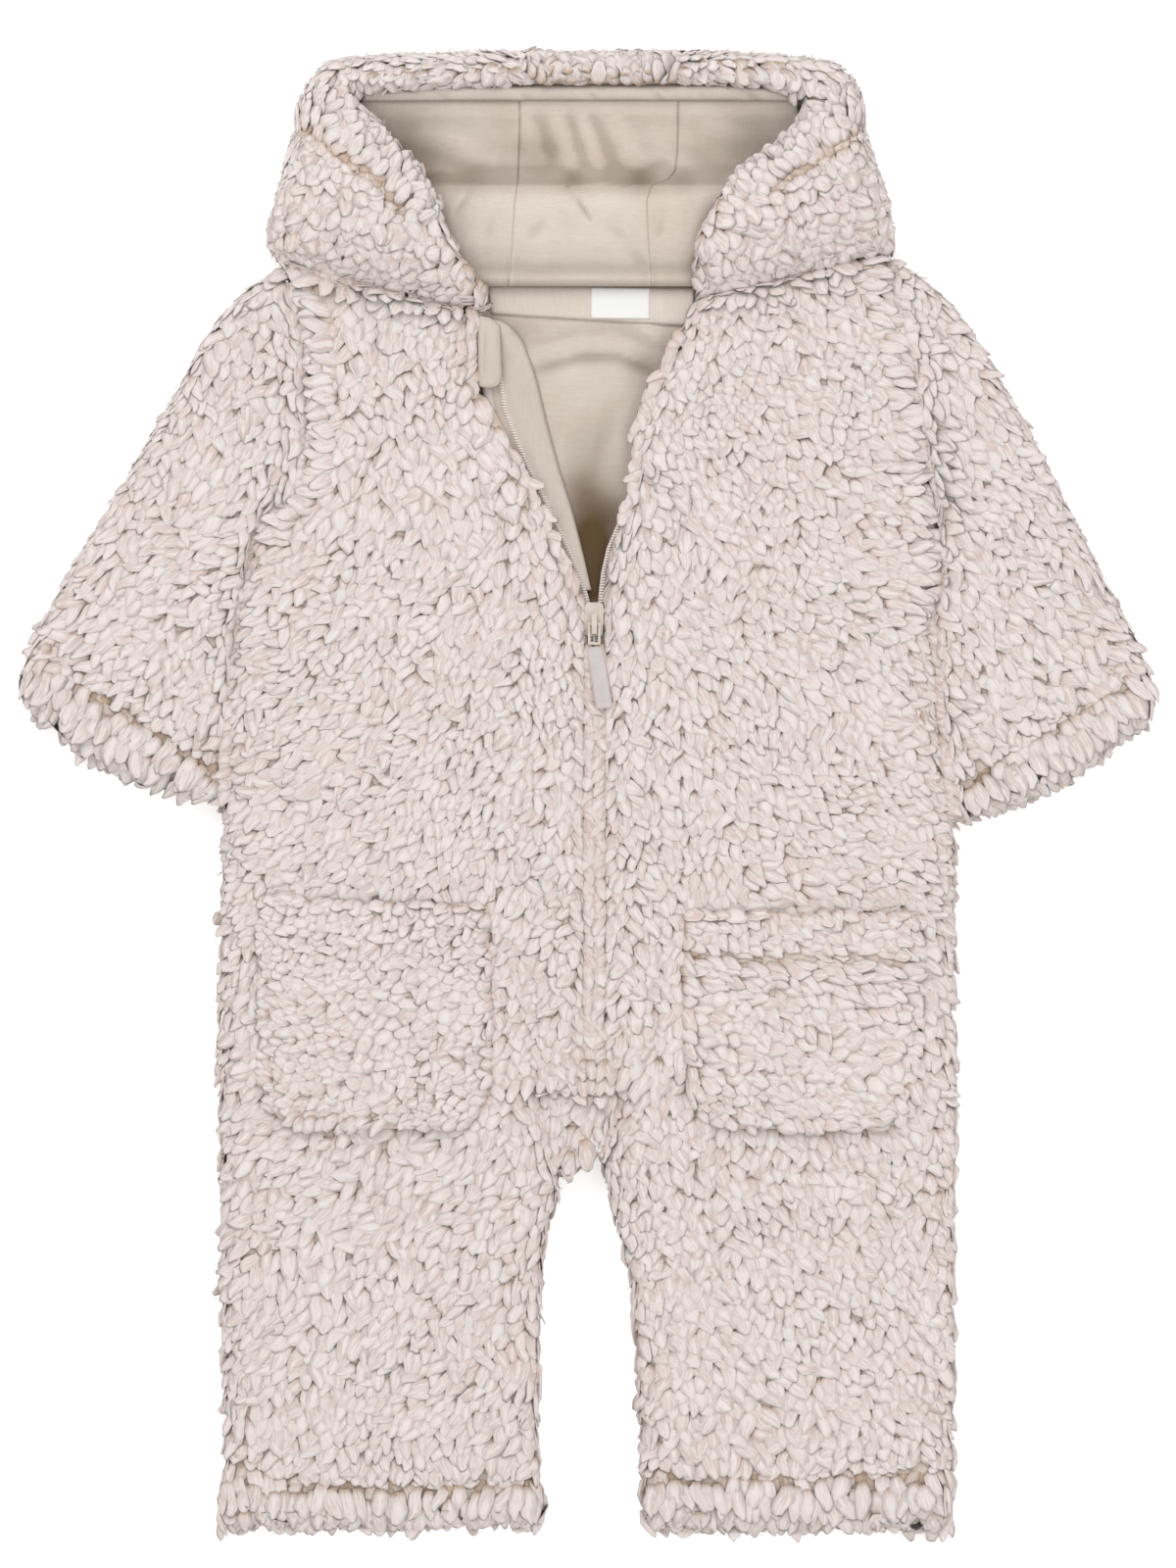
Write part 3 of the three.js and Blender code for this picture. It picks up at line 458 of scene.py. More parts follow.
fleece = fleece_material()
ground = ground_material()
lining = jersey_material("lining_jersey", linear(210, 196, 182), linear(230, 218, 208))
facing_cloth = jersey_material("facing_jersey", linear(211, 198, 186), linear(229, 218, 208), turn=90)
tape_cloth = tape_material("zip_tape", linear(222, 209, 199), linear(238, 227, 219))
coil_nylon = tape_material("zip_coil", linear(238, 227, 219), linear(250, 242, 237))
tab_paint = paint_material("slider_paint", linear(200, 190, 190), linear(209, 200, 200))
body_paint = paint_material("slider_paint_cream", linear(208, 196, 182), linear(220, 209, 197))
satin = satin_material()


# The ground of the pile, which stays clear of the floor
ground_low = 1.2 * mm


def ground_of(name, inset):
    """The knitted ground of a panel: its solid drawn in by a part of the pile's depth."""
    points, faces = node_mesh(name)
    moved = points - corner_normals(points, faces) * inset
    moved[:, 2] = np.maximum(moved[:, 2], ground_low)
    mesh = mesh_of(name + "_ground", moved, faces.ravel(), np.arange(len(faces)) * 3)
    piece = new_object("ground_" + name, mesh, ground)
    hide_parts(name)
    return piece


# Pile
def solid_tree():
    """A tree of every CAD surface, to find which places the air reaches."""
    points, faces, base = [], [], 0
    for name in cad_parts:
        corners, triangles = node_mesh(name)
        points.append(corners)
        faces.append(triangles + base)
        base += len(corners)
    return BVHTree.FromPolygons(np.vstack(points).tolist(), np.vstack(faces).tolist())


everything = solid_tree()
# How far the way out must be free, where it starts, and how far the slanting ways lean
open_way = 45 * mm
open_start = 0.5 * mm
open_lean = 0.9


def in_the_open(point, normal):
    """Whether a straight way out starts at this place of the surface."""
    start = Vector(point + normal * open_start)
    side = np.array([-normal[1], normal[0], 0.0])
    side = side / max(np.linalg.norm(side), 1e-9) if np.linalg.norm(side) > 0.2 else np.array([1.0, 0, 0])
    other = np.cross(normal, side)
    ways = [normal] + [normal + lean * way for way in (side, other) for lean in (open_lean, -open_lean)]
    return any(everything.ray_cast(start, Vector(way).normalized(), open_way)[0] is None for way in ways)


# Unruliness of the nap in degrees: usually, and in a combed band
usual_unruly = 17.0
combed_unruly = 7


def flow(node, points):
    """Nap angle and unruliness in degrees, and clump length and width in mm, at points of a node."""
    plan = points[:, :2] / mm
    rows = table(flow_columns, flow_rows)
    away = np.hypot(plan[:, :1] - rows["x"], plan[:, 1:] - rows["y"])
    weight = np.exp(-(away / flow_reach) ** 2) + 1e-6 / (1 + away)
    weight /= weight.sum(axis=1, keepdims=True)
    angle = np.radians(rows["angle"])
    turn = np.degrees(np.arctan2(weight @ np.sin(angle), weight @ np.cos(angle)))
    length = weight @ rows["length"]
    width = weight @ rows["width"]
    if node in even_flow:
        turn, length, width = (np.full(len(plan), float(value)) for value in even_flow[node])
    turn = turn + 30 * smooth_noise(points, 30 * mm, 3) + 20 * smooth_noise(points, 13 * mm, 4)
    size = 1 + 0.22 * smooth_noise(points, 24 * mm, 5)
    unruly = np.full(len(plan), usual_unruly)
    for nodes, line, (way, before, beyond, long, wide) in bands:
        if node not in nodes:
            continue
        past = signed_distance(plan, band_lines[line], way)
        if line in rolled:
            ahead = (past <= -before) & (past > -stitch_hold)
            length[ahead] = np.minimum(length[ahead], np.maximum(-past[ahead] / 0.75, 5))
        inside = (past > -before) & (past < beyond)
        turn[inside] = way + 10 * smooth_noise(points[inside], 12 * mm, 8)
        length[inside] = long
        width[inside] = wide
        size[inside] = 1
        unruly[inside] = combed_unruly
    return turn, length * size, width * size, unruly


# Clumps in shares of the flow's length and width: their pitch on the cloth, and their own size
clump_pitch = 0.42
clump_long = 1.14
clump_wide = 0.98
ahead_share = 1.12
beside_share = 0.96
usual_cell = 66 * mm * mm
under_looser = 1.6
# Places tried for each usual cell of the cloth
tries = 6


def spread(node, pitch, seed):
    """Places on the open surface of a node, apart by the size of the clumps there, with their normals."""
    points, faces = node_mesh(node)
    normals = corner_normals(points, faces)
    areas = np.linalg.norm(face_vectors(points, faces), axis=1) / 2
    draw = np.random.default_rng(seed)
    count = int(tries * areas.sum() / (pitch * pitch * usual_cell))
    picks = draw.choice(len(faces), count, p=areas / areas.sum())
    u, v = draw.random(count), draw.random(count)
    fold = u + v > 1
    u[fold], v[fold] = 1 - u[fold], 1 - v[fold]
    weights = np.stack([1 - u - v, u, v], axis=1)[:, :, None]
    places = (points[faces[picks]] * weights).sum(axis=1)
    facing = unit((normals[faces[picks]] * weights).sum(axis=1))
    near = KDTree(count)
    for i, place in enumerate(places):
        near.insert(place, i)
    near.balance()
    turn, length, width, _ = flow(node, places)
    heading = np.column_stack([np.cos(np.radians(turn)), np.sin(np.radians(turn)), np.zeros(count)])
    heading = unit(heading - facing * (heading * facing).sum(axis=1, keepdims=True))
    looser = np.where(facing[:, 2] < -0.5, under_looser, 1.0)
    ahead = length * pitch * ahead_share * looser * mm
    beside = width * pitch * beside_share * looser * mm
    free = np.ones(count, dtype=bool)
    kept = []
    for i in range(count):
        if not free[i]:
            continue
        kept.append(i)
        found = np.array([j for _, j, _ in near.find_range(places[i], max(ahead[i], beside[i]))])
        step = places[found] - places[i]
        forward = step @ heading[i]
        sideways = (step ** 2).sum(axis=1) - forward ** 2
        close = (forward / ahead[i]) ** 2 + sideways / beside[i] ** 2 < 1
        free[found[close & (facing[found] @ facing[i] > 0)]] = False
    kept = [i for i in kept if not kept_bare(node, places[i] / mm, facing[i])]
    kept = [i for i in kept if in_the_open(places[i], facing[i])]
    return places[kept], facing[kept]


# Where the pile stays back, in mm in plan: under the hood's lining, behind the back's lining, at the
# fronts' lower end at the crotch, and at the right front's open edge
hood_bare_below = 314.5
back_bare_above = 60
back_bare_half = 75
crotch_bare = (-136, -126, 25)
open_edge_above = 88


def kept_bare(node, place, facing):
    """Whether the pile stays back at this place of a node."""
    low, high, half = crotch_bare
    if node == "hood_centre":
        return place[1] < hood_bare_below
    if node.startswith("pocket"):
        return facing[2] < 0.6
    if node.startswith("front") and low < place[1] < high and abs(place[0]) < half and facing[2] < 0.7:
        return True
    if node.startswith("back"):
        return facing[2] > -0.5 and abs(place[0]) < back_bare_half and place[1] > back_bare_above
    if node == "front_right" and place[1] > open_edge_above:
        return nearest_on(place[None, :2], open_edge_right)[0][0] < (5 if facing[0] > 0.4 else 1.0)
    return False


# Kinds of clump: the shares along it where its rings lie, its corners round, its half thickness
# as a share of its half width, and how far in mm its tip stands off the surface at the outline
clump_kinds = {
    "fine": {"shares": (0, 0.22, 0.48, 0.74, 0.91), "corners": 6, "thick": (0.11, 0.19), "flick": 1.0},
    "plain": {"shares": (0, 0.35, 0.7, 0.92), "corners": 5, "thick": (0.11, 0.19), "flick": 0},
    "strand": {"shares": (0, 0.45, 0.8), "corners": 3, "thick": (0.45, 0.65), "flick": 2.3},
}


def rings_of(detail, point):
    """Shares along a clump for its rings, and each clump's half widths there.

    A clump swells from its root, and closes to a tip that is blunt at a point of 0.5 and
    sharp at 1."""
    s = np.array(clump_kinds[detail]["shares"])
    swell = 0.5 + 0.5 * np.sin(np.pi / 2 * np.minimum(s / 0.45, 1))
    rest = 1 - (np.maximum(s - 0.45, 0) / 0.56) ** 2
    return s, swell[None] * rest[None] ** point[:, None]


def boxed(wave):
    """A wave with flatter tops, for clumps that are flat above and steep at their sides."""
    return np.sign(wave) * np.abs(wave) ** 0.75


# The form of a clump: its slope to the floor, the depth of its root, its bend and sway in shares of
# its length, the shares along it where its arch is full and where its tip droops, and its roughness
clump_slope = -0.22
root_depth = 1.2 * mm
lift_spread = 0.16
bend_spread = 0.18
sway_spread = 0.05
arch_full = 0.62
droop_from = 0.8
lump_spread = 0.07
ragged_spread = 0.05
tip_reach = 0.09
combed_thinner = 0.75


def clumps(places, facing, turn, length, width, crest, unruly, detail, seed):
    """Overlapping clumps of pile as closed leaves, joined in one mesh's arrays."""
    draw = np.random.default_rng(seed)
    kind = clump_kinds[detail]
    count = len(places)
    angle = np.radians(turn + draw.normal(0, 1, count) * unruly)
    along = np.stack([np.cos(angle), np.sin(angle), np.full(count, clump_slope)], axis=1)
    along = unit(along - facing * (along * facing).sum(axis=1, keepdims=True))
    across = np.cross(facing, along)
    s, profile = rings_of(detail, draw.uniform(0.6, 1.25, count))
    sides = kind["corners"]
    phi = np.arange(sides) / sides * 2 * math.pi + math.pi / 2
    length = length * draw.uniform(0.8, 1.2, count) * mm
    half = width * draw.uniform(0.8, 1.15, count) * mm / 2
    calm = 0.5 + 0.5 * smooth_noise(places, 17 * mm, 9)
    thick = half * draw.uniform(*kind["thick"], count) * (1.2 - 0.6 * calm)
    thick = thick * np.where(unruly <= combed_unruly, combed_thinner, 1)
    steep = np.clip((0.85 - facing[:, 2]) / 0.85, 0, 1.2)
    flick = kind["flick"] * steep * draw.uniform(0, 1.3, count) * mm
    bend = draw.normal(0, bend_spread, count) * length
    sway = draw.normal(0, sway_spread, count) * length
    lift = crest * mm + draw.normal(0, lift_spread, count) * mm
    arch = np.sin(np.pi / 2 * np.minimum(s / arch_full, 1)) ** 0.8
    droop = (np.maximum(s - droop_from, 0) / (1 - droop_from)) ** 2
    u = length[:, None] * (s - 0.45)
    h = -root_depth + (lift[:, None] + root_depth - thick[:, None]) * arch
    h = h - 0.3 * thick[:, None] * droop + flick[:, None] * s ** 3
    sideways = bend[:, None] * s ** 2 + sway[:, None] * np.sin(2 * np.pi * s)
    spine = (places[:, None] + along[:, None] * u[..., None] + facing[:, None] * h[..., None]
             + across[:, None] * sideways[..., None])
    lumps = 1 + draw.normal(0, lump_spread, (count, len(s), sides))
    wide = half[:, None, None] * profile[:, :, None] * boxed(np.cos(phi)) * lumps
    high = thick[:, None, None] * (0.3 + 0.7 * profile[:, :, None]) * boxed(np.sin(phi)) * lumps
    ragged = draw.normal(0, ragged_spread, (count, len(s), sides))
    ragged = ragged * length[:, None, None] * s[None, :, None] ** 3
    skin = (spine[:, :, None] + across[:, None, None] * wide[..., None]
            + facing[:, None, None] * high[..., None] + along[:, None, None] * ragged[..., None])
    tip = (spine[:, -1] + along * (length * tip_reach)[:, None]
           + facing * (0.2 * flick - 0.3 * thick)[:, None])
    points = np.concatenate([skin.reshape(count, -1, 3), spine[:, :1], tip[:, None]], axis=1)
    return clump_arrays(points, facing, places, s, sides, draw)


# How a clump's colour rises from its root, where the low tan is partly the fibres' own and partly painted
# shade of the crevices, in mm: its lowest tone's depth and the whole span, and the least rise at the
# garment's sides
rise_depth = 0.7
rise_span = 1.8
side_rise = 0.75
# How far the clumps' facing is turned up for their shading
facing_lift = 0.7


def clump_arrays(points, facing, places, s, sides, draw):
    """Faces and values for an array of clumps, each given as rings, a root and a tip."""
    count, each, _ = points.shape
    corners, starts = copies(*tube_faces(len(s), sides), each, count)
    height = ((points - places[:, None]) * facing[:, None]).sum(axis=2)
    rise = np.clip((height / mm + rise_depth) / rise_span, 0, 1)
    rise = np.maximum(rise, np.where(facing[:, 2] < 0.5, side_rise, 0.0)[:, None])
    along = np.concatenate([np.repeat(s, sides), [0.0, 1.0]])
    around = np.concatenate([np.tile(np.arange(sides) / sides, len(s)), [0.5, 0.5]])
    ring = np.abs(around - 0.5) * 2
    shade = draw.random(count)
    strand = np.column_stack([np.tile(ring * 9, count), np.tile(along * 1.6, count),
                              np.repeat(shade * 60, each)])
    lit = unit(facing + np.array([0.0, 0.0, facing_lift])) * (facing[:, 2:] > -0.3)
    return {"points": points.reshape(-1, 3), "corners": corners, "starts": starts,
            "rise": rise.ravel(), "strand": strand, "tint": np.repeat(shade, each),
            "facing": np.repeat(lit, each, axis=0)}


def joined(parts):
    """Several arrays of clumps as one."""
    total = {key: [] for key in parts[0]}
    points = loops = 0
    for part in parts:
        for key, array in part.items():
            total[key].append(array + {"corners": points, "starts": loops}.get(key, 0))
        points += len(part["points"])
        loops += len(part["corners"])
    return {key: np.concatenate(arrays) for key, arrays in total.items()}


def groove_shares(plan):
    """How near each place is to a stitch line: 1 on it, 0 out of its reach."""
    share = np.zeros(len(plan))
    for line in grooves.values():
        near = 1 - np.clip(nearest_on(plan, line)[0] / groove_reach, 0, 1)
        share = np.maximum(share, near)
    return share


# Rows of clumps that close a seam: the node that they belong to, the line, their height and angle
fringe_step = 3.0
fringe_clump = (11, 6.2)
fringe_crest = 0.5
fringe_unruly = 14
fringes = [
    ("front_right", [(0.9, 62), (0.9, -129)], 17.0, -80),
    ("front_left", [(5.5, 62), (5.5, -129)], 17.0, -100),
    ("sleeve_right", [(-131, 222), (-127.4, 176), (-127, 147), (-129, 134), (-148, 121)], 15.5, -110),
    ("sleeve_left", [(137, 226), (146, 191), (152, 155), (158, 124), (161.5, 104), (158, 84)], 15.5, -70),
    ("sleeve_right", [(-148, 121), (-154, 60), (-159, 2)], 10.0, -125),
    ("sleeve_right", [(-127, 176), (-127, 147), (-129, 134), (-148, 121), (-153, 60), (-158, 2)],
     6.5, -110),
    ("sleeve_left", [(154, 100), (158, 60), (163, 4)], 10.0, -55),
    ("sleeve_left", [(146, 191), (152, 155), (158, 124), (158, 60), (162, 4)], 6.5, -70),
    ("sleeve_right", [(-151, 124), (-145, 112)], 12.5, -120),
    ("front_right", [(-51.5, 212), (-51, 178)], 17.2, -96),
    ("front_right", [(-149, 119), (-154.5, 90), (-158.5, 54), (-160.5, 11), (-161.5, -6)], 14.6, -150),
    ("front_right", [(-147, 127), (-136, 130)], 14.0, -170),
    ("front_left", [(159.5, 106), (154.5, 80), (153.5, 70), (157, 54), (160, 11), (162.5, -12)], 14.6, -32),
    ("front_left", [(41, 202), (37.5, 192), (28.5, 175), (23.5, 163), (22, 146), (20.5, 132),
                    (15.5, 119)], 17.0, -108),
    ("front_right", [(-34, 150), (-23.5, 129), (-11, 101), (-5, 90)], 17.2, -66),
    ("front_right", [(-21, -126), (2, -124.5)], 18.6, -84),
    ("front_left", [(5, -124.5), (14, -127.5)], 18.6, -96),
    ("crotch_gusset", [(-21, -131.5), (3, -130.5), (13, -132)], 17.9, -90),
    ("crotch_gusset", [(-20, -137.5), (3, -137), (12, -138.5)], 16.4, -90),
    ("crotch_gusset", [(-23, -135), (-14.5, -168)], 14.5, -104),
    ("crotch_gusset", [(14, -136.5), (6.5, -159)], 14.5, -76),
    ("hood_side_right", [(-131, 231), (-105, 227), (-80, 221.5), (-53, 216)], 15.5, -85),
    ("hood_side_left", [(52, 222.5), (80, 225), (110, 227.5), (136, 225)], 15.5, -95),
    ("front_right", [(-159, -323.5), (-28, -322)], 11.0, -90),
    ("front_left", [(28, -323.5), (155, -324)], 11.0, -90),
]


def fringe_of(name, seed):
    """The clumps that close this panel's seams."""
    places, angles = [], []
    for _, line, height, angle in (row for row in fringes if row[0] == name):
        plan, _ = walk(line, fringe_step)
        places.append(np.column_stack([plan, np.full(len(plan), height)]) * mm)
        angles.append(np.full(len(plan), float(angle)))
    places = np.concatenate(places)
    even = np.ones(len(places))
    length, width = fringe_clump
    return clumps(places, np.tile([0.0, 0.0, 1.0], (len(places), 1)), np.concatenate(angles),
                  length * even, width * even, fringe_crest * even, fringe_unruly * even, "fine", seed)


# Strands that stand off at the outline: their pitch, and their width and crest in mm
outline_pitch = 0.38
strand_width = (1.0, 2.3)
strand_crest = 1.2


def strands(name, seed):
    """Thin strands that stand off at the outline."""
    places, facing = spread(name, outline_pitch, seed + 300)
    chosen = (facing[:, 2] > -0.5) & (facing[:, 2] < 0.6)
    places, facing = places[chosen], facing[chosen]
    turn, length, width, unruly = flow(name, places)
    draw = np.random.default_rng(seed + 400)
    count = len(places)
    return clumps(places, facing, turn, length * draw.uniform(0.6, 1.0, count),
                  draw.uniform(*strand_width, count), np.full(count, strand_crest), unruly + 8,
                  "strand", seed + 500)


# The pile's height in mm and how it swells, how far a stitch line presses it down and narrows it,
# how much wider the clumps below are, and the depth on the floor that is pressed together
pile_crest = 1.0
crest_swell = 0.3
stitch_press = 2.0
stitch_narrow = 0.25
under_wider = 1.1
pressed_depth = 0.8 * mm


def pile(name, seed):
    """The clumps of one panel: fine ones where they face up or out, plain ones below."""
    places, facing = spread(name, clump_pitch, seed)
    turn, length, width, unruly = flow(name, places)
    held = groove_shares(places[:, :2] / mm)
    crest = pile_crest + crest_swell * smooth_noise(places, 18 * mm, 6) - stitch_press * held
    crest = crest + np.where(facing[:, 2] > 0, roll_swell(name, places[:, :2] / mm), 0)
    shrink = 1 - stitch_narrow * held
    under = facing[:, 2] < -0.45
    parts = []
    if any(row[0] == name for row in fringes):
        parts.append(fringe_of(name, seed + 90))
    for chosen, detail, wider in ((~under, "fine", 1.0), (under, "plain", under_wider)):
        if chosen.any():
            parts.append(clumps(places[chosen], facing[chosen], turn[chosen],
                                (length * shrink)[chosen] * clump_long * wider,
                                (width * shrink)[chosen] * clump_wide * wider,
                                crest[chosen], unruly[chosen], detail, seed + 50))
    if not name.startswith("pocket"):
        parts.append(strands(name, seed))
    whole = joined(parts)
    points = whole.pop("points")
    corners, starts = whole.pop("corners"), whole.pop("starts")
    height = points[:, 2]
    pressed = pressed_depth * np.exp(np.minimum(height / pressed_depth, 1) - 1)
    points[:, 2] = np.where(height < pressed_depth, pressed, height)
    mesh = mesh_of("pile_" + name, points, corners, starts, whole)
    return new_object("pile_" + name, mesh, fleece)


first_seed = 20


def fleece_panels():
    """Every teddy panel: its ground, and the pile on it."""
    for seed, (name, (inset, width, length, share)) in enumerate(fleece_cuts.items(), first_seed):
        sheet = ground_of(name, inset * mm)
        tufts = pile(name, seed)


# Jersey: panels rebuilt as fine sheets on their solids
def plan_spans(name, axis, step):
    """Cuts across a node's plan at even steps along an axis: each cut's place, start and end."""
    points, faces = node_mesh(name)
    a = points[faces[:, [0, 1, 2]].ravel()]
    b = points[faces[:, [1, 2, 0]].ravel()]
    low, high = points[:, axis].min() + 0.02 * mm, points[:, axis].max() - 0.02 * mm
    cuts = np.linspace(low, high, max(4, int((high - low) / step) + 1))
    spans = []
    for cut in cuts:
        crossing = (a[:, axis] - cut) * (b[:, axis] - cut) < 0
        p, q = a[crossing], b[crossing]
        share = (cut - p[:, axis]) / (q[:, axis] - p[:, axis])
        other = p[:, 1 - axis] + share * (q[:, 1 - axis] - p[:, 1 - axis])
        spans.append((cut, other.min(), other.max()))
    return np.array(spans)


def top_heights(name, grid):
    """The height of a node's upper side at points of its plan."""
    points, faces = node_mesh(name)
    tree = BVHTree.FromPolygons(points.tolist(), faces.tolist())
    middle = grid.reshape(-1, 2).mean(axis=0)
    heights = np.full(len(grid.reshape(-1, 2)), np.nan)
    for i, place in enumerate(grid.reshape(-1, 2)):
        for inward in (0.0, 0.01, 0.04):
            x, y = place + (middle - place) * inward
            hit = tree.ray_cast(Vector((x, y, 0.1)), Vector((0, 0, -1)))[0]
            if hit is not None:
                heights[i] = hit.z
                break
    heights[np.isnan(heights)] = np.nanmean(heights)
    return heights.reshape(grid.shape[:2])


def softened(field, passes):
    """A grid of values, blurred a little in both directions."""
    for _ in range(passes):
        for axis in (0, 1):
            padded = np.concatenate([field.take([0], axis), field, field.take([-1], axis)], axis)
            low = padded.take(range(0, padded.shape[axis] - 2), axis)
            high = padded.take(range(2, padded.shape[axis]), axis)
            field = (low + 2 * field + high) / 4
    return field


def crease_height(plan, rows):
    """Soft ridges and troughs, in mm, at places in mm: x0 y0 x1 y1 width height."""
    total = np.zeros(plan.shape[:-1])
    for x0, y0, x1, y1, width, height in rows:
        start = np.array([x0, y0], dtype=float)
        way = np.array([x1, y1], dtype=float) - start
        share = ((plan - start) @ way) / (way @ way)
        held = np.clip(share, 0, 1)
        away = np.linalg.norm(plan - start - held[..., None] * way, axis=-1)
        fade = 0.45 + 0.55 * np.sin(np.pi * held)
        total += height * np.exp(-(away / width) ** 2) * fade
    return total


def sheet_mesh(name, grid, top, thick, rim=0.4, painted_shade=None):
    """A closed sheet between a grid of heights and the same grid, thinner by its thickness."""
    rows, count = top.shape
    border = np.ones((rows, count), dtype=bool)
    border[1:-1, 1:-1] = False
    upper = np.where(border, top - rim * thick, top)
    lower = np.where(border, top - (1 - rim) * thick, top - thick)
    points = np.concatenate([np.dstack([grid, side]).reshape(-1, 3) for side in (upper, lower)])
    base = rows * count
    index = np.arange(base).reshape(rows, count)
    a, b = index[:-1, :-1].ravel(), index[:-1, 1:].ravel()
    c, d = index[1:, 1:].ravel(), index[1:, :-1].ravel()
    faces = [np.stack([a, b, c, d], 1), np.stack([d, c, b, a], 1) + base]
    loop = np.concatenate([index[0, :-1], index[:-1, -1], index[-1, :0:-1], index[:0:-1, 0]])
    after = np.roll(loop, -1)
    faces.append(np.stack([after, loop, loop + base, after + base], 1))
    corners = np.concatenate(faces)
    first = points[corners[0]]
    facing = np.cross(first[1] - first[0], first[2] - first[0])[2]
    if facing < 0:
        corners = corners[:, ::-1]
    # The painted shade is held on both sides of the sheet
    values = None if painted_shade is None else {"painted_shade": np.tile(painted_shade.ravel(), 2)}
    return mesh_of(name, points, corners.ravel(), np.arange(len(corners)) * 4, values)


def painted_shade_map(grid, top, painted_shades, edge_painted_shade_amount):
    """Painted shade of a sheet at each place of its grid: darker in its creases, at its seams and where it
    lies deep inside.
    """
    dark = np.clip((softened(top, 10) - top) / mm / painted_shade_depth, 0, painted_shade_most)
    # Painted shade along the sheet's edge ring, where its seams are
    edge_painted_shade = np.full(top.shape, edge_painted_shade_amount)
    edge_painted_shade[1:-1, 1:-1] = 0
    for x, y, reach, amount in painted_shades:
        away = np.hypot(grid[..., 0] / mm - x, grid[..., 1] / mm - y)
        dark = dark + amount * np.exp(-(away / reach) ** 2)
    return np.clip(dark + edge_painted_shade, 0, 1)


def rounded_ends(spans, radii):
    """Cuts drawn in to rounded corners: radii in mm at the first cut's start and end, and the last's."""
    for edge, pair in ((spans[0, 0], radii[:2]), (spans[-1, 0], radii[2:])):
        away = np.abs(spans[:, 0] - edge)
        for column, radius, inward in ((1, pair[0], 1), (2, pair[1], -1)):
            if radius:
                depth = np.clip(1 - away / (radius * mm), 0, 1)
                spans[:, column] += inward * radius * mm * (1 - np.sqrt(1 - depth ** 2))
    return spans


def panel(name, material, thick, axis=1, step=1.6, blur=3, creases=(), bulge=0.0, laps=(0, 0, 0),
          painted_shades=(), pillow=0.0, radii=(0, 0, 0, 0), edge_painted_shade=0.4):
    """A cloth piece: a fine sheet on the upper side of its node, creased along the given lines.

    Laps are how far in mm it reaches past its node: at its sides, before its first cut, after its last."""
    spans = plan_spans(name, axis, step * mm)
    sides, before, after = (lap * mm for lap in laps)
    spans[:, 1] -= sides
    spans[:, 2] += sides
    if before:
        spans = np.vstack([spans[:1] - [before, 0, 0], spans])
    if after:
        reach = np.linspace(0, after, max(2, round(after / (step * mm)) + 1))[1:]
        spans = np.vstack([spans[:-level_rows]] + [spans[-level_rows] + [far, 0, 0] for far in reach])
    spans = rounded_ends(spans, radii)
    widest = (spans[:, 2] - spans[:, 1]).max()
    share = np.linspace(0, 1, max(4, int(widest / (step * mm)) + 1))
    across = spans[:, 1:2] + (spans[:, 2:3] - spans[:, 1:2]) * share
    along = np.repeat(spans[:, :1], len(share), axis=1)
    grid = np.dstack([across, along] if axis == 1 else [along, across])
    top = top_heights(name, grid)
    if before:
        top[:level_rows] = top[level_rows]
    top = softened(top, blur) + crease_height(grid / mm, creases) * mm
    ends = np.sin(np.pi * np.linspace(0.02, 0.98, len(spans)))[:, None] ** pillow
    top = top + bulge * mm * np.sin(np.pi * share) ** 0.6 * ends
    # The sheet carries painted shade from its creases, its edges and its deep places
    mesh = sheet_mesh(name + "_cloth", grid, top, thick * mm, painted_shade=painted_shade_map(grid, top, painted_shades, edge_painted_shade))
    piece = new_object("cloth_" + name, mesh, material)
    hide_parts(name)


# How deep in mm a crease is fully dark with painted shade and how dark that painted shade gets, and the
# rows of a sheet that stay level at a lap
painted_shade_depth = 1.8
painted_shade_most = 0.3
level_rows = 4
# Places that get painted shade where they lie deep, in plan: x, y, reach and amount
hood_painted_shades = [(-84.6, 286, 15, 0.5), (-74, 273, 11, 0.4), (-52, 271, 8, 0.22), (-19, 281, 8, 0.25),
               (-6, 271, 5, 0.3), (24, 271, 7, 0.42), (42, 271, 6, 0.2), (-40, 279, 12, 0.14),
               (72, 286, 12, 0.25), (12, 276, 7, 0.12), (-26, 286, 7, 0.14)]
back_painted_shades = [(0, 180, 90, 0.1), (0.5, 109, 17, 0.9), (2.6, 90, 15, 0.9), (-1, 132, 13, 0.55),
               (0, 154, 12, 0.18), (-20, 187, 6, 0.1), (0, 190, 6, 0.1), (22, 188, 6, 0.14),
               (-34, 201, 8, 0.2), (27, 192, 6, 0.2), (12, 122, 9, 0.3), (-26, 205, 7, 0.12)]
# Creases in plan: from x and y to x and y, width and height
seam_creases = [
    (-22, 296, -13, 277, 4.6, -1.6), (-28, 298, -22, 284, 5, 1.6), (-8, 298, -1, 280, 3.8, -1.5),
    (-13, 300, -8, 284, 4.2, 1.6), (3, 298, 16, 268, 4, -1.6), (-2, 296, 7, 276, 4, 1.4),
    (11, 300, 24, 276, 5, 1.4), (28, 274, 37, 280, 4, -1), (-70, 290, -44, 280, 6, 1.6),
    (-80, 284, -52, 276, 6, -1.2), (50, 300, 72, 286, 6, 1.4), (44, 284, 60, 276, 5, -1)]
roll_edge = [(-92, 264, -66, 271.5, 3.0, -1.2), (-66, 271.5, -34, 269, 2.2, -0.7),
             (-34, 269, 3, 267.5, 2.0, -0.6), (10, 267.5, 44, 269.5, 2.8, -1.4), (-60, 258, -10, 257, 8, 1.5),
             (-10, 257, 40, 258, 8, 1.5), (-64, 276, -40, 268, 4, 1.0), (-12, 278, 4, 270, 4, 0.9)]
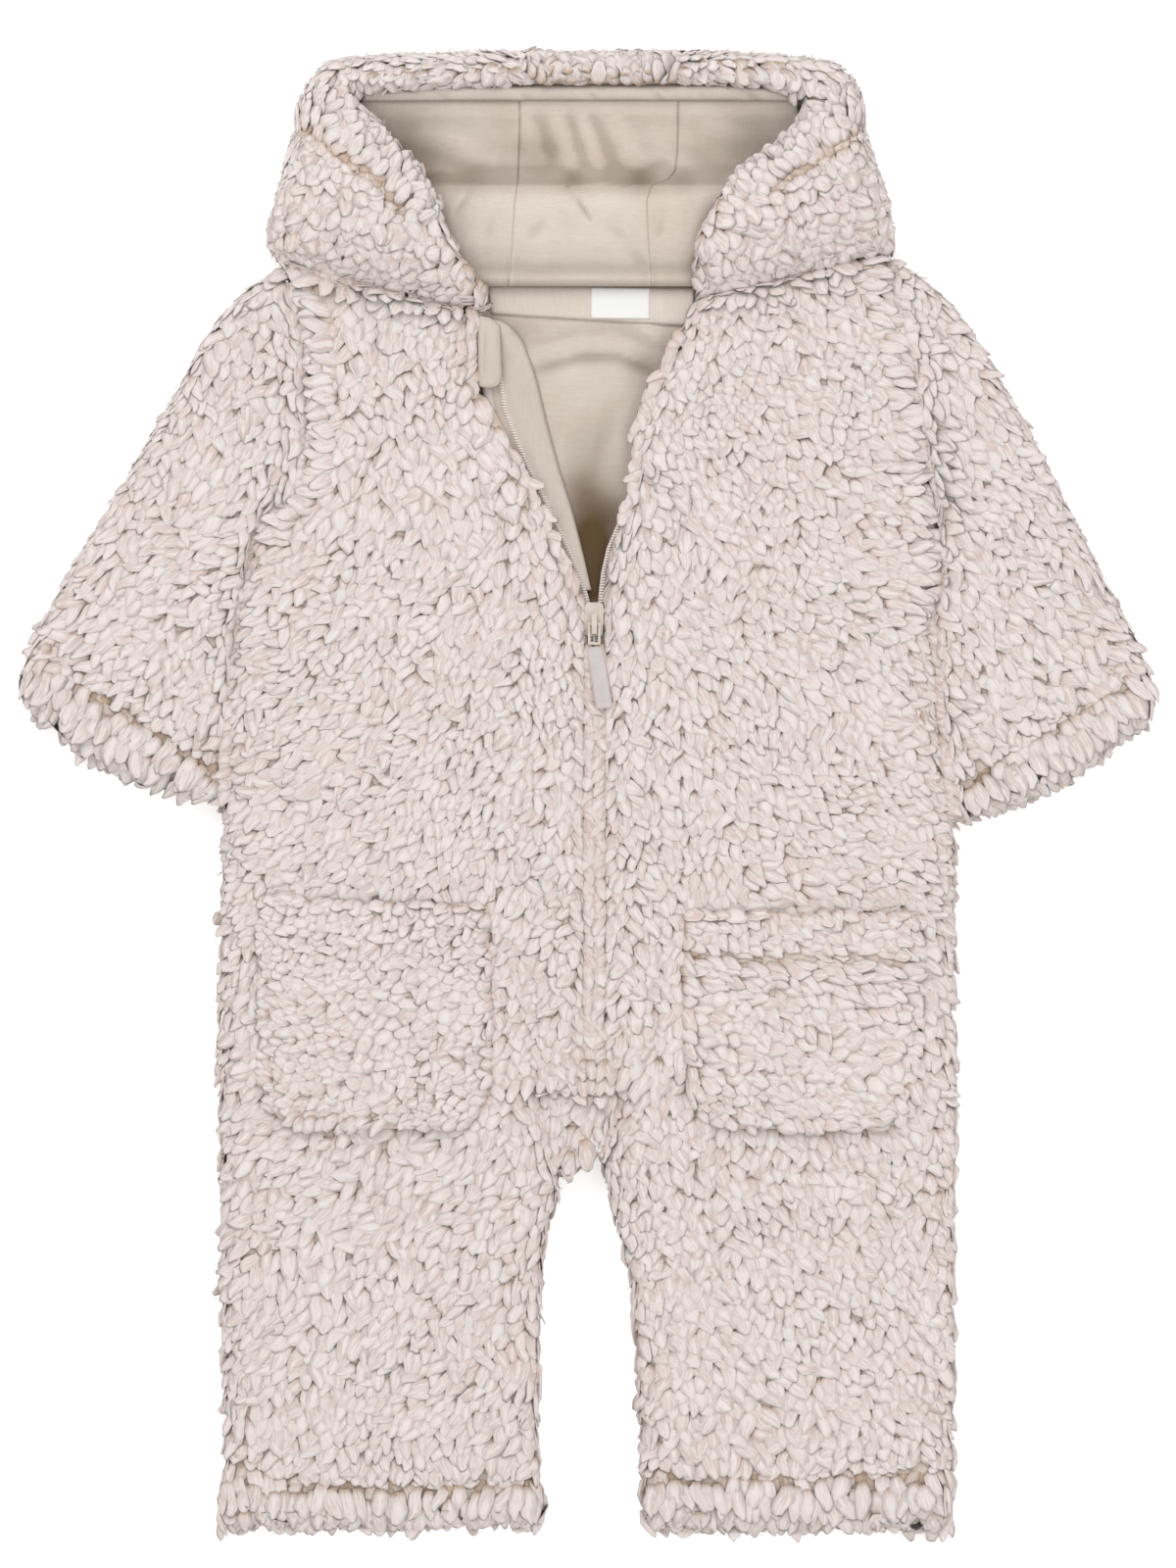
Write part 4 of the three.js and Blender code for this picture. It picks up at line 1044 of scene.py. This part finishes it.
roll_creases = [
    (-8.8, 268, 1.3, 253, 1.4, -1.9), (-13, 266, -6, 252, 3, 0.9), (-58, 256, -52, 267, 1.6, -1.4),
    (-26, 243, -17, 257, 4, -0.9), (11, 250, 26, 232, 4, -1), (-46, 238, -40, 262, 3, -0.8),
    (-20, 236, -8, 248, 5, 0.8), (30, 240, 36, 262, 3, -0.9), (2, 258, 14, 262, 4, 0.6),
    (18, 252, 24, 266, 3, -0.7)]
casing_creases = [
    (-32, 313, -26, 307, 1.6, -0.7), (-1, 313, 4, 307, 1.6, -0.7), (27, 313, 33, 307, 1.8, -0.8),
    (68, 313, 76, 306, 1.8, -0.8), (-70, 312, -62, 307, 2, -0.5), (48, 312, 53, 307, 2, -0.4)]
back_creases = [(-24, 192, -3, 198, 3.4, 1.5), (-3, 198, 12, 198.5, 3.4, 1.6), (12, 198.5, 34, 190, 3.4, 1.5),
                (-22, 187, -3, 192, 3.2, -0.6), (-3, 192, 14, 192, 3.2, -0.6), (14, 192, 34, 184, 3.2, -0.6),
                (11, 172, 3, 142, 5, -0.7), (-4, 170, -8, 146, 6, 0.8), (18, 166, 16, 146, 4, 0.7),
                (-8, 130, 12, 118, 5, 0.6), (20, 214, 30, 204, 4, 0.9)]


def jersey_pieces():
    """Hood lining in three, its casing, the back lining, the neck tape, placket and chin guard."""
    for part in ("right", "centre", "left"):
        panel("lining_hood_" + part, lining, 0.9, step=1.25, blur=4,
              creases=seam_creases + roll_creases + roll_edge, laps=(0.45, 4.0, 5.8), painted_shades=hood_painted_shades)
    panel("hood_casing", facing_cloth, 1.2, axis=0, step=1.4, blur=1,
          creases=casing_creases, bulge=0.9, laps=(0.5, 0, 0))
    panel("lining_back", lining, 0.9, step=1.8, blur=1, creases=back_creases,
          painted_shades=back_painted_shades)
    panel("neck_tape", facing_cloth, 1.0, axis=0, step=1.5, blur=1,
          creases=[(32, 222, 35, 208, 2.5, 0.6), (-30, 222, -27, 212, 3, 0.4)], bulge=0.5,
          laps=(0.7, 0, 0), edge_painted_shade=0.25)
    panel("placket", facing_cloth, 1.0, step=1.3, blur=1,
          creases=[(-40, 192, -20, 140, 3, 0.5), (-43, 214, -37, 200, 6, 3.2)], bulge=2.0,
          laps=(0.4, 0, 15), radii=(0, 0, 5, 19), edge_painted_shade=0.12, painted_shades=[(-20, 150, 70, 0.14)])
    panel("chin_guard", facing_cloth, 1.3, step=0.5, blur=6, bulge=1.5, pillow=0.5,
          radii=(2, 4.5, 4, 5), edge_painted_shade=0.15, creases=[(-45.5, 206, -45.8, 184, 0.9, -0.7)],
          painted_shades=[(-44, 190, 40, 0.1)])


# Small repeated things, as joined ellipsoids
def beads(name, centres, ways, ups, radii, material, sides=8, rings=3):
    """Small rounded bars at centres, each along its way, with radii along, across and up."""
    lat = np.linspace(-math.pi / 2, math.pi / 2, rings + 2)[1:-1]
    lon = np.arange(sides) / sides * 2 * math.pi
    ball = np.array([(math.sin(v), math.cos(v) * math.cos(u), math.cos(v) * math.sin(u))
                     for v in lat for u in lon] + [(-1, 0, 0), (1, 0, 0)])
    ways, ups = unit(np.array(ways)), unit(np.array(ups))
    axes = (ways, np.cross(ups, ways), ups)
    points = centres[:, None] + sum(ball[None, :, i, None] * radii[i] * mm * axes[i][:, None]
                                    for i in range(3))
    corners, starts = copies(*tube_faces(rings, sides), len(ball), len(centres))
    return new_object(name, mesh_of(name, points.reshape(-1, 3), corners, starts), material)


def walk(line, pitch):
    """Points and directions at even steps along a polyline in mm."""
    line = np.array(line, dtype=float)
    total = np.concatenate([[0], np.cumsum(np.linalg.norm(np.diff(line, axis=0), axis=1))])

    def at(steps):
        return np.stack([np.interp(steps, total, column) for column in line.T], axis=1)

    steps = np.arange(pitch / 2, total[-1], pitch)
    return at(steps), unit(at(steps + 0.2) - at(steps - 0.2))


# The zip
coil_right = [(-39.6, 198), (-37, 181), (-35.5, 170), (-30.5, 156), (-24.5, 142), (-17, 127.5), (-6, 104),
              (0.5, 87), (2.2, 80.5), (zip_x - 0.15, 76), (zip_x - 0.15, -129)]
coil_left = [(40.5, 205), (35.5, 191.5), (26.5, 174.5), (21.5, 162.5), (20, 146), (18.5, 132), (13.5, 119),
             (8.5, 107), (6, 96), (5, 87), (4.5, 80.5), (zip_x + 0.15, 76), (zip_x + 0.15, -129)]
# Heights of the tape and the coil, the coil's pitch and its tooth's radii, and the places across the
# tape, with a ridge where it is stitched, in mm
tape_low, tape_top, coil_top = 10.9, 11.7, 13.2
coil_pitch = 1.25
coil_middle = 1.35
tooth = (1.3, 0.46, 0.8)
tape_insets = np.array([0.2, 2, 4, 6, 8, 9.9])
ridge_inset, ridge_height, ridge_width = 4, 0.25, 1.2


def zip_half(name, coil, away):
    """One half of the zip: its woven tape and the coil's teeth."""
    places, ways = walk(coil, coil_pitch)
    outward = np.stack([np.abs(ways[:, 1]), np.zeros(len(ways))], axis=1) * away
    count = len(places)
    height = np.full(count, (tape_top + coil_top) / 2 + 0.05)
    middle = np.column_stack([places + outward * coil_middle, height]) * mm
    across = np.column_stack([outward, np.zeros(count)])
    up = np.tile([0.0, 0.0, 1.0], (count, 1))
    teeth = beads("teeth_" + name, middle, across, up, tooth, coil_nylon)
    grid = places[:, None] + outward[:, None] * tape_insets[None, :, None]
    top = np.full(grid.shape[:2], tape_top * mm)
    top += ridge_height * mm * np.exp(-((tape_insets - ridge_inset) / ridge_width) ** 2)
    mesh = sheet_mesh(name + "_tape", grid * mm, top, (tape_top - tape_low) * mm)
    tape = new_object("tape_" + name, mesh, tape_cloth)
    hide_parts(name)


def bevelled(name, node, rides, material, width, segments=3):
    """A copy of a hard node with its edges rounded, in its place."""
    points, faces = node_mesh(node)
    mesh = mesh_of(name, points, faces.ravel(), np.arange(len(faces)) * 3)
    form = bmesh.new()
    form.from_mesh(mesh)
    bmesh.ops.dissolve_limit(form, angle_limit=math.radians(2), verts=form.verts[:], edges=form.edges[:])
    sharp = [edge for edge in form.edges if len(edge.link_faces) == 2 and edge.calc_face_angle() > 0.35]
    bmesh.ops.bevel(form, geom=sharp, offset=width * mm, segments=segments, profile=0.5,
                    affect="EDGES", clamp_overlap=True)
    bmesh.ops.triangulate(form, faces=[face for face in form.faces if len(face.verts) > 4])
    form.to_mesh(mesh)
    form.free()
    piece = new_object(name, mesh, material, rides)
    mesh.set_sharp_from_angle(angle=math.radians(32))
    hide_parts(node)
    return piece


def zip_pieces():
    """Both halves, the slider, the link and the pull tab."""
    zip_half("zip_right", coil_right, -1)
    zip_half("zip_left", coil_left, 1)
    bevelled("slider_body", "zip_slider", body, body_paint, 0.22)
    bevelled("link_frame", "pull_link", pull_body, body_paint, 0.18)
    bevelled("tab_plate", "pull_tab", pull_body, tab_paint, 0.7, segments=1)


def label():
    """The bare woven label, with its folded top edge."""
    panel("label", satin, 0.5, axis=0, step=0.8, blur=0,
          creases=[(2, 209.6, 28, 209.3, 2.5, 0.5), (2, 216, 28, 216, 5, 0.25)])


# Floor, light and camera
view_height = 6.0
sensor = 36.0
# The photograph: its size in pixels, metres to a pixel at the cloth's height, and its middle
photo_size = (1200, 1600)
photo_scale = 0.436 * mm
photo_middle = (photo_scale, 5 * photo_scale)
cloth_height = 15 * mm
sky_strength = 0.83
floor_gap = 0.2 * mm
# Soft square lights: where they stand, their size and their power
lights = {"key": ((-0.7, 1.3, 1.5), 1.0, 9), "fill": ((1.0, -0.6, 1.7), 1.4, 5)}


def camera():
    """Straight above, with the photograph's frame at the cloth's height."""
    data = bpy.data.cameras.new("camera")
    data.sensor_width = sensor
    data.lens = sensor * view_height / (photo_size[1] * photo_scale)
    data.clip_end = 50
    eye = bpy.data.objects.new("camera", data)
    eye.location = (*photo_middle, view_height + cloth_height)
    bpy.context.scene.collection.objects.link(eye)
    bpy.context.scene.camera = eye


def area_light(name, place, size, power):
    """A soft square light that looks at the middle of the floor."""
    data = bpy.data.lights.new(name, "AREA")
    data.shape = "SQUARE"
    data.size = size
    data.energy = power
    lamp = bpy.data.objects.new(name, data)
    lamp.location = place
    lamp.rotation_euler = (-Vector(place)).to_track_quat("-Z", "Y").to_euler()
    bpy.context.scene.collection.objects.link(lamp)


def studio():
    """A white floor, an even sky and two large soft lights."""
    scene = bpy.context.scene
    world = bpy.data.worlds.new("studio")
    world.use_nodes = True
    sky = world.node_tree.nodes["Background"]
    sky.inputs["Color"].default_value = (1, 1, 1, 1)
    sky.inputs["Strength"].default_value = sky_strength
    scene.world = world
    scene.view_settings.view_transform = "Standard"
    for name, (place, size, power) in lights.items():
        area_light(name, place, size, power)
    bpy.ops.mesh.primitive_grid_add(x_subdivisions=2, y_subdivisions=2, size=6,
                                    location=(0, 0, -floor_gap))
    floor = bpy.context.object
    floor.name = "floor"
    white = {"Roughness": 0.9, "Emission Color": (1, 1, 1, 1), "Emission Strength": 0.4}
    floor.data.materials.append(textured_material(
        "floor_white", "Noise", {"Scale": 60.0},
        [(0.2, linear(243, 243, 243)), (0.8, linear(245, 245, 245))], None, white))


camera()
studio()
fleece_panels()
jersey_pieces()
zip_pieces()
label()
